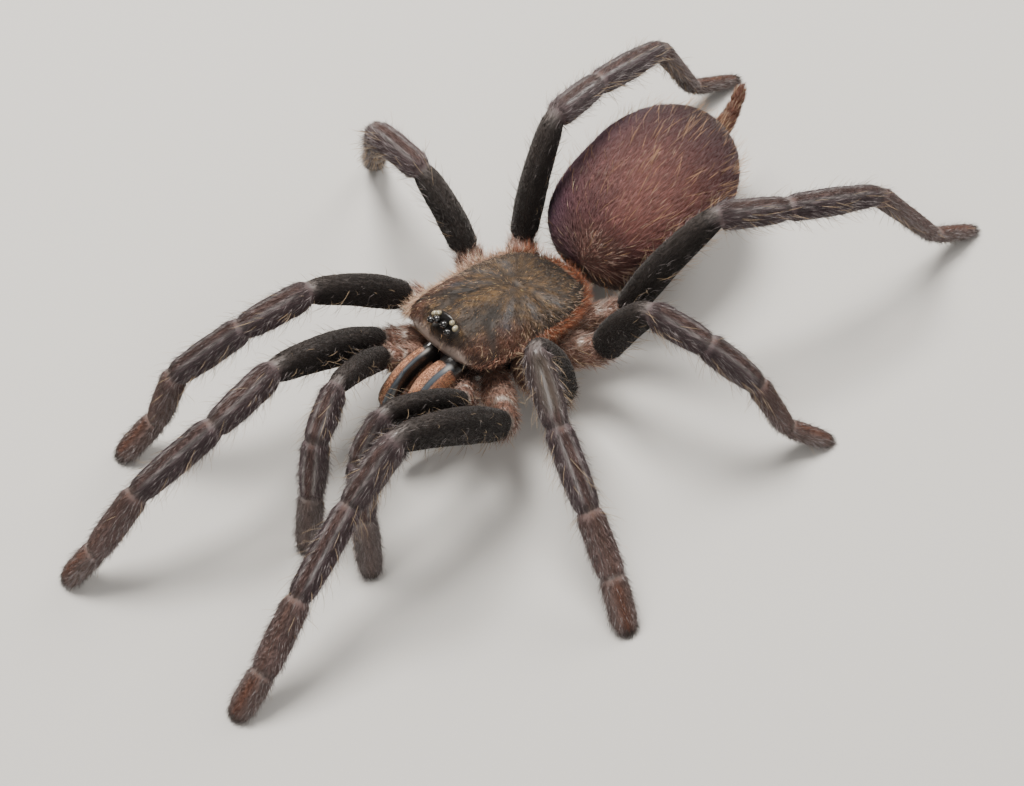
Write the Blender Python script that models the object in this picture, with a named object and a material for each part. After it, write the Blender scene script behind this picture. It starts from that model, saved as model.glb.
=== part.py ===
"""A life-size still model of a tarantula, standing on its eight feet and two feelers.

The spider faces -Y and its left side is +X. Its trunk is laid out in a body frame of its own, whose
axes are outward, forward and up, in carapace lengths, and which is tipped a little nose-up and
left side up. Every limb starts at its hip in that frame and is then a chain of straight segments,
each with its own pitch. The last pitch of a limb is worked out, so that its tip comes down on the
floor, z = 0.
"""

import math
from dataclasses import dataclass

import bmesh
import bpy
from mathutils import Matrix, Vector

# Driving dimensions, in metres and degrees.
CARAPACE_LENGTH = 0.0145
GAP = 0.0003
EYE_GAP = 0.00006
WORKING_SCALE = 1000.0

# Everything below is in carapace lengths unless it says otherwise.
TRUNK_HEIGHT = 0.526
NOSE_UP = 8.2
LEFT_SIDE_UP = 6.0
FACES_ROUND_LIMB = 10
FACES_ROUND_TRUNK = 22

# Carapace, with the fringe of hairs round it: its two ends, its widest half-width and its dome.
CARAPACE_FRONT = 0.475
CARAPACE_REAR = -0.52
CARAPACE_HALF_WIDTH = 0.40
CARAPACE_STATIONS = 15
CARAPACE_POINTS_ACROSS = 15
CAPUT_HEIGHT = 0.185
FOVEA_FORWARD = -0.08
RIM_HEIGHT = 0.028
TUBERCLE_FORWARD = 0.436
TUBERCLE_UP = 0.150
TUBERCLE_SIZE = (0.110, 0.062, 0.064)

# Each pair of eyes: out, forward and up of its middle, then half-width, half-length and half-height.
EYES = {
    "front_middle_eye": ((0.028, 0.464, 0.196), (0.022, 0.022, 0.022)),
    "front_side_eye": ((0.067, 0.474, 0.173), (0.023, 0.019, 0.019)),
    "rear_middle_eye": ((0.053, 0.426, 0.203), (0.016, 0.018, 0.014)),
    "rear_side_eye": ((0.080, 0.428, 0.182), (0.016, 0.023, 0.017)),
}

# Trunk pieces below the carapace.
PROSOMA_HALF = (0.165, 0.37)
PROSOMA_TOP = -0.025
PROSOMA_BOTTOM = -0.235
STERNUM_HALF = (0.185, 0.245)
STERNUM_TOP = -0.262
STERNUM_BOTTOM = -0.335
PEDICEL_RADIUS = 0.055
PEDICEL_START = (0.0, -0.400, -0.080)
PEDICEL_END = (0.0, -0.545, -0.062)
PEDICEL_OUTLINE = ((0.0, 0.90), (0.30, 1.0), (0.65, 0.85), (1.0, 0.80))

# Chelicera: out, forward and up of its base, middle and tip, and the half-sizes there.
CHELICERA_PATH = ((0.096, 0.455, -0.112), (0.098, 0.620, -0.165), (0.094, 0.765, -0.325))
CHELICERA_HALF = ((0.085, 0.120), (0.088, 0.155), (0.070, 0.098))
CHELICERA_OUTLINE = (
    (0.0, 0.84), (0.08, 0.95), (0.25, 1.0), (0.45, 1.0),
    (0.65, 1.0), (0.83, 0.94), (0.95, 0.78), (1.03, 0.48),
)
FANG_PATH = ((0.092, 0.845, -0.395), (0.090, 0.822, -0.480), (0.086, 0.715, -0.505), (0.080, 0.600, -0.445))
FANG_RADIUS = 0.036
FANG_TIP_RADIUS = 0.018

# Abdomen: an egg on an axis that swings to the spider's right and rises a little, in degrees, and
# its front end as x, y and z in carapace lengths.
ABDOMEN_SWING = 9.8
ABDOMEN_RISE = 1.8
ABDOMEN_LENGTH = 1.325
ABDOMEN_HALF_WIDTH = 0.465
ABDOMEN_HALF_HEIGHT = 0.399
ABDOMEN_WIDEST = 0.541
ABDOMEN_FRONT_BLUNTNESS = 3.6
ABDOMEN_REAR_BLUNTNESS = 2.03
ABDOMEN_FRONT = (0.036, 0.545, 0.487)
SPINNERET_RADIUS = 0.055
SPINNERET_TIP_RADIUS = 0.028
# Out, up and back from the abdomen's rear end: the right one is raised, the left one folded down.
SPINNERET_PATHS = {
    "spinneret_right": ((0.041, 0.073, 0.025), (0.027, 0.090, 0.110), (0.002, 0.134, 0.225)),
    "spinneret_left": ((0.105, -0.075, 0.030), (0.112, -0.145, 0.080), (0.105, -0.215, 0.110)),
}


@dataclass(frozen=True)
class LimbSize:
    """Segment lengths, and (half-width, half-depth) of each, for one pair of limbs."""

    lengths: tuple
    halves: tuple
    coxa_inner: tuple
    coxa_half: tuple


@dataclass(frozen=True)
class LimbPose:
    """Where one limb's hip sits, which way it leaves, and how it is bent, in degrees."""

    hip: tuple
    yaw: float
    pitches: tuple
    turn_at_tibia: float
    turn_at_foot: float
    turn_at_knee: float = 0.0


SIZES = {
    "leg1": LimbSize(
        (0.91, 0.43, 0.546, 0.44, 0.294),
        ((0.090, 0.130), (0.090, 0.102), (0.086, 0.095), (0.090, 0.082), (0.086, 0.066)),
        (0.165, 0.215, -0.215),
        (0.088, 0.105),
    ),
    "leg2": LimbSize(
        (0.73, 0.405, 0.481, 0.383, 0.334),
        ((0.088, 0.115), (0.090, 0.097), (0.088, 0.093), (0.090, 0.080), (0.084, 0.064)),
        (0.200, 0.070, -0.215),
        (0.092, 0.108),
    ),
    "leg3": LimbSize(
        (0.555, 0.343, 0.40, 0.409, 0.312),
        ((0.088, 0.112), (0.090, 0.095), (0.090, 0.092), (0.074, 0.070), (0.066, 0.056)),
        (0.200, -0.095, -0.215),
        (0.098, 0.108),
    ),
    "leg4": LimbSize(
        (0.835, 0.409, 0.648, 0.759, 0.399),
        ((0.088, 0.116), (0.088, 0.093), (0.088, 0.091), (0.068, 0.066), (0.056, 0.052)),
        (0.150, -0.240, -0.215),
        (0.098, 0.112),
    ),
    "feeler": LimbSize(
        (0.66, 0.31, 0.37, 0.37),
        ((0.070, 0.092), (0.084, 0.090), (0.088, 0.090), (0.080, 0.064)),
        (0.110, 0.370, -0.250),
        (0.076, 0.085),
    ),
}

# The hips are (out, forward, up). A yaw of 0 points straight out and 90 straight ahead.
POSES = {
    "leg1_right": LimbPose((0.403, 0.532, -0.200), 94, (33, -9, -26, -47), -14, -18),
    "leg2_right": LimbPose((0.490, 0.271, -0.073), 79, (37, -6, -32, -67), -13, 6),
    "leg3_right": LimbPose((0.542, -0.228, -0.049), 8, (56, 16, -61, -57), -40, -8),
    "leg4_right": LimbPose((0.438, -0.571, -0.083), -79, (70, -11, -18, -59), -3, -14),
    "leg1_left": LimbPose((0.541, 0.469, -0.191), 92, (38, -43, -28, -38), -16, 9),
    "leg2_left": LimbPose((0.577, 0.064, -0.203), 85, (70, -40, -41, -42), -6, 5, -64),
    "leg3_left": LimbPose((0.495, -0.312, -0.140), -22, (63, -16, -41, -60), -12, -19),
    "leg4_left": LimbPose((0.385, -0.585, -0.100), -64, (54, -10, -17, -52), -9, -9),
    "feeler_right": LimbPose((0.256, 0.642, -0.144), 113, (38, -32, -70), 5, 4),
    "feeler_left": LimbPose((0.317, 0.569, -0.109), 91, (37, -53, -65), -52, -8),
}

# Outlines along a segment: how far along, and the share of the full half-size there. A whole number
# is a joint, so a piece of two segments runs from 0 to 2.
FEMUR_OUTLINE = (
    (-0.06, 0.40), (0.0, 0.70), (0.10, 0.90), (0.32, 1.0),
    (0.62, 0.97), (0.86, 0.90), (0.98, 0.76), (1.05, 0.42),
)
SHIN_OUTLINE = (
    (-0.12, 0.42), (0.0, 0.78), (0.25, 0.96), (0.68, 1.0), (1.0, 0.86),
    (1.28, 0.96), (1.62, 1.0), (1.95, 0.80), (2.06, 0.42),
)
FOOT_OUTLINE = (
    (-0.08, 0.46), (0.0, 0.78), (0.30, 0.97), (0.75, 1.0), (1.0, 0.90),
    (1.35, 1.02), (1.72, 0.98), (1.93, 0.76), (2.0, 0.52),
)
PALM_OUTLINE = ((-0.10, 0.46), (0.0, 0.78), (0.30, 0.98), (0.65, 1.0), (0.90, 0.84), (1.0, 0.56))
COXA_OUTLINE = (
    (-0.05, 0.72), (0.10, 0.92), (0.45, 1.0), (0.72, 0.92),
    (0.95, 0.84), (1.10, 0.60), (1.16, 0.40),
)
FEMUR_BOW = 0.045
TIP_HEIGHT = 0.006

COLOURS = {
    "carapace": ((0.060, 0.050, 0.034), 0.42),
    "eye": ((0.010, 0.009, 0.008), 0.08),
    "fang": ((0.016, 0.012, 0.011), 0.20),
    "chelicera": ((0.300, 0.150, 0.105), 0.62),
    "trunk": ((0.150, 0.088, 0.068), 0.75),
    "femur": ((0.020, 0.015, 0.014), 0.80),
    "shin": ((0.066, 0.052, 0.052), 0.78),
    "foot": ((0.095, 0.072, 0.070), 0.80),
    "abdomen": ((0.105, 0.050, 0.048), 0.80),
    "spinneret": ((0.200, 0.075, 0.035), 0.78),
}


def clear_scene():
    """Removes every object, so that the file starts empty."""
    for old in list(bpy.data.objects):
        bpy.data.objects.remove(old, do_unlink=True)


def material(kind):
    """The one material of this kind, made on first use."""
    found = bpy.data.materials.get(kind)
    if found:
        return found
    colour, roughness = COLOURS[kind]
    made = bpy.data.materials.new(kind)
    made.use_nodes = True
    shader = made.node_tree.nodes["Principled BSDF"]
    shader.inputs["Base Color"].default_value = (*colour, 1.0)
    shader.inputs["Roughness"].default_value = roughness
    shader.inputs["Metallic"].default_value = 0.0
    made.diffuse_color = (*colour, 1.0)
    return made


def body_direction(out, forward, up, side=1):
    """A direction of the tipped body frame in the world. Side is 1 on the left and -1 on the right."""
    pitch = math.radians(NOSE_UP)
    roll = math.radians(LEFT_SIDE_UP)
    left = side * out * math.cos(roll) - up * math.sin(roll)
    lift = side * out * math.sin(roll) + up * math.cos(roll)
    ahead = forward * math.cos(pitch) - lift * math.sin(pitch)
    rise = forward * math.sin(pitch) + lift * math.cos(pitch)
    return Vector((left, -ahead, rise))


def body_point(out, forward, up, side=1):
    """A point of the body frame in the world, in metres."""
    place = body_direction(out, forward, up, side) + Vector((0.0, 0.0, TRUNK_HEIGHT))
    return place * CARAPACE_LENGTH


def side_of(name):
    """1 for a piece on the spider's left, -1 for one on its right."""
    return 1 if name.endswith("left") else -1


def face_outwards(bm):
    """Turns every face of a closed body outwards. It works at a larger scale, as some faces are tiny."""
    bmesh.ops.scale(bm, verts=bm.verts, vec=(WORKING_SCALE,) * 3)
    bmesh.ops.recalc_face_normals(bm, faces=bm.faces)
    if bm.calc_volume(signed=True) < 0:
        bmesh.ops.reverse_faces(bm, faces=bm.faces)
    bmesh.ops.scale(bm, verts=bm.verts, vec=(1 / WORKING_SCALE,) * 3)


def add_piece(name, mesh_builder, kind, smooth_angle=40.0):
    """Turns a finished bmesh into a named object with its own material."""
    face_outwards(mesh_builder)
    mesh = bpy.data.meshes.new(name)
    mesh_builder.to_mesh(mesh)
    mesh_builder.free()
    mesh.shade_smooth()
    mesh.set_sharp_from_angle(angle=math.radians(smooth_angle))
    mesh.materials.append(material(kind))
    piece = bpy.data.objects.new(name, mesh)
    bpy.context.scene.collection.objects.link(piece)
    return piece


def loft(rings):
    """A closed body through rings of equal counts of points, with a face at each end."""
    bm = bmesh.new()
    rows = [[bm.verts.new(point) for point in ring] for ring in rings]
    count = len(rows[0])
    for near, far in zip(rows, rows[1:]):
        for i in range(count):
            j = (i + 1) % count
            bm.faces.new((near[i], near[j], far[j], far[i]))
    bm.faces.new(rows[0])
    bm.faces.new(rows[-1])
    return bm


def ring(centre, across, upward, half_across, half_up, count):
    """Points of an ellipse about a centre, in the plane of two unit directions."""
    turn = 2 * math.pi / count
    return [
        centre
        + across * (half_across * math.cos(turn * (i + 0.5)))
        + upward * (half_up * math.sin(turn * (i + 0.5)))
        for i in range(count)
    ]


def cut_away(bm, place, normal):
    """Removes what lies past a plane, on the side its normal points to, and closes the cut."""
    everything = list(bm.verts) + list(bm.edges) + list(bm.faces)
    bmesh.ops.bisect_plane(bm, geom=everything, plane_co=place, plane_no=normal, clear_outer=True, dist=1e-7)
    rim = [edge for edge in bm.edges if edge.is_boundary]
    if rim:
        bmesh.ops.holes_fill(bm, edges=rim, sides=0)


def between(pairs, along):
    """Blends a list of tuples, one for each whole number, with a soft change at each joint."""
    last = len(pairs) - 1
    low = min(int(max(along, 0.0)), last)
    if low == last or last == 0:
        return pairs[last]
    share = min(max(along - low, 0.0), 1.0)
    share = share * share * (3 - 2 * share)
    return tuple(a + (b - a) * share for a, b in zip(pairs[low], pairs[low + 1]))


def smooth_path(points, along):
    """A point on a Catmull-Rom curve through a short list of points. Along runs from 0 to 1."""
    places = [Vector(p) for p in points]
    places = [2 * places[0] - places[1]] + places + [2 * places[-1] - places[-2]]
    spans = len(places) - 3
    here = min(along * spans, spans - 1e-9)
    k = int(here)
    t = here - k
    a, b, c, d = places[k : k + 4]
    return 0.5 * (2 * b + (c - a) * t + (2 * a - 5 * b + 4 * c - d) * t**2 + (3 * b - a - 3 * c + d) * t**3)


def path_direction(points, along, side):
    """The world direction in which a curve of the body frame runs on from a place along it."""
    start = min(along, 0.98)
    step = smooth_path(points, start + 0.02) - smooth_path(points, start)
    return body_direction(*step, side).normalized()


class Limb:
    """One leg or feeler: its joints in the world, and the pieces between them."""

    def __init__(self, name):
        self.name = name
        self.side = side_of(name)
        self.size = SIZES[name.split("_")[0]]
        pose = POSES[name]
        self.inner = body_point(*self.size.coxa_inner, self.side)
        self.joints = [body_point(*pose.hip, self.side)]
        self.directions = []
        self.sideways = []
        count = len(self.size.lengths)
        for i, length in enumerate(self.size.lengths):
            yaw = pose.yaw
            yaw += pose.turn_at_knee if i >= 1 else 0.0
            yaw += pose.turn_at_tibia if i >= 2 else 0.0
            yaw += pose.turn_at_foot if i == count - 1 else 0.0
            length = length * CARAPACE_LENGTH
            if i < count - 1:
                pitch = math.radians(pose.pitches[i])
            else:
                pitch = math.asin((TIP_HEIGHT * CARAPACE_LENGTH - self.joints[-1].z) / length)
            yaw = math.radians(yaw)
            flat = Vector((self.side * math.cos(yaw), -math.sin(yaw), 0.0))
            direction = flat * math.cos(pitch) + Vector((0.0, 0.0, math.sin(pitch)))
            self.directions.append(direction)
            self.sideways.append(Vector((-flat.y, flat.x, 0.0)))
            self.joints.append(self.joints[-1] + direction * length)

    def joint_plane(self, i):
        """The plane that halves the bend at joint i: its point, and its normal towards the tip."""
        before = (self.joints[0] - self.inner).normalized() if i == 0 else self.directions[i - 1]
        return self.joints[i], (before + self.directions[i]).normalized()

    def body_of(self, first, segments, outline, bow=0.0):
        """A rounded body along some segments, from joint `first` on."""
        halves = self.size.halves[first : first + segments]
        rings = []
        for along, share in outline:
            k = min(max(int(along), 0), segments - 1)
            direction = self.directions[first + k]
            across = self.sideways[first + k]
            reach = along - k
            place = self.joints[first + k].lerp(self.joints[first + k + 1], reach)
            if segments > 1 and along == 1.0:
                direction = (self.directions[first] + self.directions[first + 1]).normalized()
                across = (self.sideways[first] + self.sideways[first + 1]).normalized()
            upward = direction.cross(across).normalized()
            if upward.z < 0:
                upward = -upward
            if segments > 1:
                spot = min(max((along - 0.5), 0.0), 1.0)
                half = between(halves, spot)
            else:
                half = halves[0]
            length = self.size.lengths[first + k] * CARAPACE_LENGTH
            place = place + upward * (bow * length * math.sin(math.pi * min(max(reach, 0.0), 1.0)))
            width = half[0] * share * CARAPACE_LENGTH
            depth = half[1] * share * CARAPACE_LENGTH
            rings.append(ring(place, across, upward, width, depth, FACES_ROUND_LIMB))
        return loft(rings)

    def part_from_neighbours(self, bm, first, last):
        """Cuts a body thinly away at its two joints; None leaves that end whole."""
        if first is not None:
            place, normal = self.joint_plane(first)
            cut_away(bm, place + normal * (GAP / 2), -normal)
        if last is not None:
            place, normal = self.joint_plane(last)
            cut_away(bm, place - normal * (GAP / 2), normal)

    def add_femur(self):
        """The thick first long segment, arched a little."""
        bm = self.body_of(0, 1, FEMUR_OUTLINE, FEMUR_BOW)
        self.part_from_neighbours(bm, 0, 1)
        add_piece(f"{self.name}_femur", bm, "femur")

    def add_shin(self):
        """The patella and the tibia, in one piece with a bend and a waist at their joint."""
        bm = self.body_of(1, 2, SHIN_OUTLINE)
        self.part_from_neighbours(bm, 1, 3)
        add_piece(f"{self.name}_shin", bm, "shin")

    def add_foot(self):
        """What is left of the limb, down to the small flat on which its tip stands."""
        left = len(self.size.lengths) - 3
        bm = self.body_of(3, left, FOOT_OUTLINE if left == 2 else PALM_OUTLINE)
        self.part_from_neighbours(bm, 3, None)
        cut_away(bm, Vector((0.0, 0.0, 0.0)), Vector((0.0, 0.0, -1.0)))
        add_piece(f"{self.name}_foot", bm, "foot")


def coxa_body(limb):
    """The coxa and trochanter of one limb, from the breast plate's edge to past the hip."""
    axis = limb.joints[0] - limb.inner
    direction = axis.normalized()
    across = direction.cross(body_direction(0, 0, 1)).normalized()
    upward = across.cross(direction).normalized()
    wide, deep = (half * CARAPACE_LENGTH for half in limb.size.coxa_half)
    rings = [
        ring(limb.inner + axis * along, across, upward, wide * share, deep * share, FACES_ROUND_LIMB)
        for along, share in COXA_OUTLINE
    ]
    return loft(rings)


def part_coxae(near, near_body, far, far_body):
    """Cuts two neighbouring coxae thinly apart, on the plane midway between their axes."""
    inner = (near.inner + far.inner) / 2
    outer = (near.joints[0] + far.joints[0]) / 2
    normal = body_direction(0, 0, 1).cross(outer - inner).normalized()
    if normal.dot(far.joints[0] - outer) < 0:
        normal = -normal
    cut_away(near_body, inner - normal * (GAP / 2), normal)
    cut_away(far_body, inner + normal * (GAP / 2), -normal)


def add_coxae(limbs, side_name):
    """The five coxae of one side, parted from each other, the carapace and the chelicera."""
    side = side_of(side_name)
    order = [limbs[f"{kind}_{side_name}"] for kind in ("feeler", "leg1", "leg2", "leg3", "leg4")]
    bodies = [coxa_body(limb) for limb in order]
    up = body_direction(0, 0, 1)
    roof = body_point(0, 0, -0.012) - up * GAP
    for limb, bm in zip(order, bodies):
        place, normal = limb.joint_plane(0)
        cut_away(bm, place - normal * (GAP / 2), normal)
        cut_away(bm, roof, up)
    for i in range(len(order) - 1):
        part_coxae(order[i], bodies[i], order[i + 1], bodies[i + 1])
    middle = body_direction(1, 0, 0, -side)
    cut_away(bodies[0], body_point(0, 0, 0) - middle * (GAP / 2), middle)
    for limb, bm in zip(order, bodies):
        piece = add_piece(f"{limb.name}_coxa", bm, "trunk")
        hollow_for(piece, prosoma_body(GAP), f"{limb.name}_coxa_end")
        if limb.name.startswith("feeler"):
            hollow_for(piece, chelicera_body(side, GAP), f"{limb.name}_coxa_hollow")


def hollow_for(piece, cutter_body, name, smooth_angle=40.0):
    """Cuts from a piece the room that another needs, with a hidden cutter."""
    cutter = add_piece(name, cutter_body, "trunk", smooth_angle)
    cutter.hide_render = True
    cutter.display_type = "WIRE"
    cut = piece.modifiers.new(name, "BOOLEAN")
    cut.operation = "DIFFERENCE"
    cut.object = cutter
    return cut


def carapace_reach(forward):
    """How far along the carapace a place lies, from -1 at its rear to 1 at its front."""
    return 2 * (forward - CARAPACE_REAR) / (CARAPACE_FRONT - CARAPACE_REAR) - 1


def carapace_half_width(forward):
    """Half-width of the carapace at a place along it: a broad oval, blunt in front."""
    reach = carapace_reach(forward)
    widest = -0.10
    if reach > widest:
        t = (reach - widest) / (1 - widest)
        return CARAPACE_HALF_WIDTH * (1 - 0.05 * t**2.2) * (1 - t**12) ** 0.5
    t = (widest - reach) / (1 + widest)
    return CARAPACE_HALF_WIDTH * (1 - 0.28 * t**2.0) * (1 - t**7) ** 0.5


def carapace_height(out_share, forward):
    """Height of the carapace: its rim, ridge line, caput, fovea and grooves."""
    reach = carapace_reach(forward)
    front = max(0.0, min(1.0, (1.0 - reach) / 0.16)) ** 0.55
    back = max(0.0, min(1.0, (1.0 + reach) / 0.95)) ** 0.75
    ridge = CAPUT_HEIGHT * front * back * (0.80 + 0.20 * math.exp(-(((reach - 0.50) / 0.42) ** 2)))
    shoulder = (1 - abs(out_share) ** 2.3) ** 0.80
    out = out_share * carapace_half_width(forward)
    pit = 0.030 * math.exp(-((out / 0.055) ** 2) - ((forward - FOVEA_FORWARD) / 0.045) ** 2)
    groove_at = 0.085 + 0.62 * (forward - FOVEA_FORWARD)
    groove = 0.0
    if forward > FOVEA_FORWARD:
        groove = 0.016 * math.exp(-(((abs(out) - groove_at) / 0.035) ** 2))
    return RIM_HEIGHT + ridge * shoulder - pit - groove * shoulder


def carapace_body():
    """The domed plate over the front half of the body, flat below."""
    rings = []
    for i in range(CARAPACE_STATIONS):
        turn = math.pi * (0.5 + i) / CARAPACE_STATIONS
        share = (1 - math.cos(turn)) / 2
        forward = CARAPACE_REAR + (CARAPACE_FRONT - CARAPACE_REAR) * share
        half = carapace_half_width(forward)
        points = []
        for j in range(CARAPACE_POINTS_ACROSS):
            share = -math.cos(math.pi * j / (CARAPACE_POINTS_ACROSS - 1))
            up = carapace_height(share, forward) if 0 < j < CARAPACE_POINTS_ACROSS - 1 else RIM_HEIGHT
            points.append(body_point(share * half, forward, up))
        for share in (0.90, -0.90):
            points.append(body_point(share * half, forward, 0.0))
        rings.append(points)
    return loft(rings)


def ellipsoid(centre, across, ahead, upward, halves, rows, count):
    """A closed rounded body with its three half-sizes along three unit directions."""
    bm = bmesh.new()
    bmesh.ops.create_uvsphere(bm, u_segments=count, v_segments=rows, radius=1.0)
    scale = [half * CARAPACE_LENGTH for half in halves]
    for vert in bm.verts:
        x, y, z = vert.co
        vert.co = centre + across * (x * scale[0]) + ahead * (y * scale[1]) + upward * (z * scale[2])
    return bm


def add_carapace_and_eyes():
    """The carapace with its eye tubercle, and eight eyes that sit in it in pits of their own."""
    carapace = add_piece("carapace", carapace_body(), "carapace")
    across = body_direction(1, 0, 0)
    ahead = body_direction(0, 1, 0)
    upward = body_direction(0, 0, 1)
    centre = body_point(0.0, TUBERCLE_FORWARD, TUBERCLE_UP)
    mound = add_piece("tubercle", ellipsoid(centre, across, ahead, upward, TUBERCLE_SIZE, 8, 14), "carapace")
    mound.hide_render = True
    mound.display_type = "WIRE"
    join = carapace.modifiers.new("tubercle", "BOOLEAN")
    join.operation = "UNION"
    join.object = mound
    for kind, (place, halves) in EYES.items():
        for side_name in ("left", "right"):
            side = side_of(side_name)
            name = f"{kind}_{side_name}"
            centre = body_point(*place, side)
            turn = Matrix.Rotation(math.radians(-side * 24.0), 3, upward)
            frame = (turn @ across, turn @ ahead, upward)
            add_piece(name, ellipsoid(centre, *frame, halves, 6, 8), "eye", 60.0)
            room = tuple(half + EYE_GAP / CARAPACE_LENGTH for half in halves)
            hollow_for(carapace, ellipsoid(centre, *frame, room, 6, 8), f"{name}_pit", 60.0)


def plate(half_width, half_length, middle, top, bottom, count, point_rear=0.0):
    """A flat oval plate with rounded edges in the body frame, drawn to a point behind by a share."""
    rings = []
    for up, share in ((bottom, 0.80), (bottom * 0.6 + top * 0.4, 1.0), (top, 0.94)):
        points = []
        for i in range(count):
            turn = 2 * math.pi * i / count
            forward = math.sin(turn)
            taper = 1 - point_rear * max(0.0, -forward)
            out = half_width * share * taper * math.cos(turn)
            points.append(body_point(out, middle + half_length * share * forward, up))
        rings.append(points)
    return loft(rings)


def prosoma_body(grow=0.0):
    """The flesh below the carapace, grown sideways by a distance for a cutter."""
    wide, long = (half + grow / CARAPACE_LENGTH for half in PROSOMA_HALF)
    return plate(wide, long, 0.0, PROSOMA_TOP, PROSOMA_BOTTOM, FACES_ROUND_TRUNK)


def add_trunk():
    """The flesh below the carapace, the breast plate with its lip, and the thin waist."""
    add_piece("prosoma", prosoma_body(), "trunk")
    breast = plate(*STERNUM_HALF, -0.02, STERNUM_TOP, STERNUM_BOTTOM, 18, 0.35)
    add_piece("sternum", breast, "femur")
    lip = plate(0.062, 0.045, 0.290, STERNUM_TOP - 0.005, STERNUM_BOTTOM + 0.010, 12)
    add_piece("labium", lip, "trunk")
    start = body_point(*PEDICEL_START)
    end = body_point(*PEDICEL_END)
    across = body_direction(1, 0, 0)
    upward = body_direction(0, 0, 1)
    radius = PEDICEL_RADIUS * CARAPACE_LENGTH
    rings = [
        ring(start.lerp(end, along), across, upward, radius * share, radius * share * 0.8, 12)
        for along, share in PEDICEL_OUTLINE
    ]
    add_piece("pedicel", loft(rings), "trunk")


def chelicera_body(side, grow=0.0):
    """The thick jaw segment that bows forward and down, grown by a distance for a cutter."""
    rings = []
    across = body_direction(1, 0, 0)
    for along, share in CHELICERA_OUTLINE:
        direction = path_direction(CHELICERA_PATH, along, side)
        place = body_point(*smooth_path(CHELICERA_PATH, min(along, 1.0)), side)
        if along > 1.0:
            reach = (Vector(CHELICERA_PATH[-1]) - Vector(CHELICERA_PATH[0])).length
            place = place + direction * ((along - 1.0) * reach * CARAPACE_LENGTH)
        if grow and along in (0.0, 1.03):
            place = place + direction * (grow if along else -grow)
        upward = direction.cross(across).normalized()
        if upward.z < 0:
            upward = -upward
        wide, deep = between(CHELICERA_HALF, along * 2)
        wide = wide * share * CARAPACE_LENGTH + grow
        deep = deep * share * CARAPACE_LENGTH + grow
        rings.append(ring(place, across, upward, wide, deep, 12))
    return loft(rings)


def fang_body(side):
    """The curved fang, folded back below the chelicera."""
    rings = []
    across = body_direction(1, 0, 0)
    steps = 7
    for i in range(steps):
        along = i / (steps - 1)
        here = smooth_path(FANG_PATH, along)
        direction = path_direction(FANG_PATH, along, side)
        upward = direction.cross(across).normalized()
        radius = (FANG_RADIUS + (FANG_TIP_RADIUS - FANG_RADIUS) * along**0.8) * CARAPACE_LENGTH
        rings.append(ring(body_point(*here, side), across, upward, radius, radius, 8))
    return loft(rings)


def add_mouth_parts():
    """The two chelicerae and their fangs."""
    for side_name in ("left", "right"):
        side = side_of(side_name)
        add_piece(f"chelicera_{side_name}", chelicera_body(side), "chelicera")
        add_piece(f"fang_{side_name}", fang_body(side), "fang")


def abdomen_frame():
    """Front end, axis, sideways and upward directions of the abdomen."""
    swing = math.radians(ABDOMEN_SWING)
    rise = math.radians(ABDOMEN_RISE)
    axis = Vector((-math.sin(swing) * math.cos(rise), math.cos(swing) * math.cos(rise), math.sin(rise)))
    across = Vector((math.cos(swing), math.sin(swing), 0.0))
    upward = across.cross(axis).normalized()
    return Vector(ABDOMEN_FRONT) * CARAPACE_LENGTH, axis, across, upward


def abdomen_girth(reach):
    """Share of the abdomen's full girth, from its blunt front end at 0 to its rear end at 1."""
    if reach < ABDOMEN_WIDEST:
        return (1 - ((ABDOMEN_WIDEST - reach) / ABDOMEN_WIDEST) ** ABDOMEN_FRONT_BLUNTNESS) ** 0.5
    return (1 - ((reach - ABDOMEN_WIDEST) / (1 - ABDOMEN_WIDEST)) ** ABDOMEN_REAR_BLUNTNESS) ** 0.5


def add_abdomen():
    """The egg-shaped abdomen, bluntest in front, and its two long spinnerets."""
    front, axis, across, upward = abdomen_frame()
    length = ABDOMEN_LENGTH * CARAPACE_LENGTH
    rows = 14
    rings = []
    for i in range(rows):
        turn = math.pi * (i + 0.35) / (rows - 0.3)
        reach = (1 - math.cos(turn)) / 2
        full = abdomen_girth(reach)
        centre = front + axis * (length * reach)
        wide = ABDOMEN_HALF_WIDTH * full * CARAPACE_LENGTH
        deep = ABDOMEN_HALF_HEIGHT * full * CARAPACE_LENGTH
        rings.append(ring(centre, across, upward, wide, deep, FACES_ROUND_TRUNK))
    add_piece("abdomen", loft(rings), "abdomen")
    rear = front + axis * length
    for name, path in SPINNERET_PATHS.items():
        rings = []
        steps = 6
        for i in range(steps):
            along = i / (steps - 1)
            out, up, back = smooth_path(path, along)
            place = rear + (across * out + upward * up + axis * back) * CARAPACE_LENGTH
            radius = SPINNERET_RADIUS + (SPINNERET_TIP_RADIUS - SPINNERET_RADIUS) * along
            radius *= CARAPACE_LENGTH
            rings.append(ring(place, across, upward, radius, radius, 8))
        add_piece(name, loft(rings), "spinneret")


def centre_on_floor():
    """Moves the whole model sideways, so that the middle of its box stands over the origin."""
    bpy.context.view_layer.update()
    shown = [piece for piece in bpy.data.objects if not piece.hide_render]
    corners = [piece.matrix_world @ Vector(corner) for piece in shown for corner in piece.bound_box]
    shift = Vector(
        (
            -(min(c.x for c in corners) + max(c.x for c in corners)) / 2,
            -(min(c.y for c in corners) + max(c.y for c in corners)) / 2,
            0.0,
        )
    )
    for piece in bpy.data.objects:
        piece.data.transform(Matrix.Translation(shift))


def main():
    clear_scene()
    limbs = {name: Limb(name) for name in POSES}
    add_carapace_and_eyes()
    add_trunk()
    add_mouth_parts()
    add_abdomen()
    for side_name in ("left", "right"):
        add_coxae(limbs, side_name)
    for limb in limbs.values():
        limb.add_femur()
        limb.add_shin()
        limb.add_foot()
    centre_on_floor()


if __name__ == "__main__":
    main()
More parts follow.
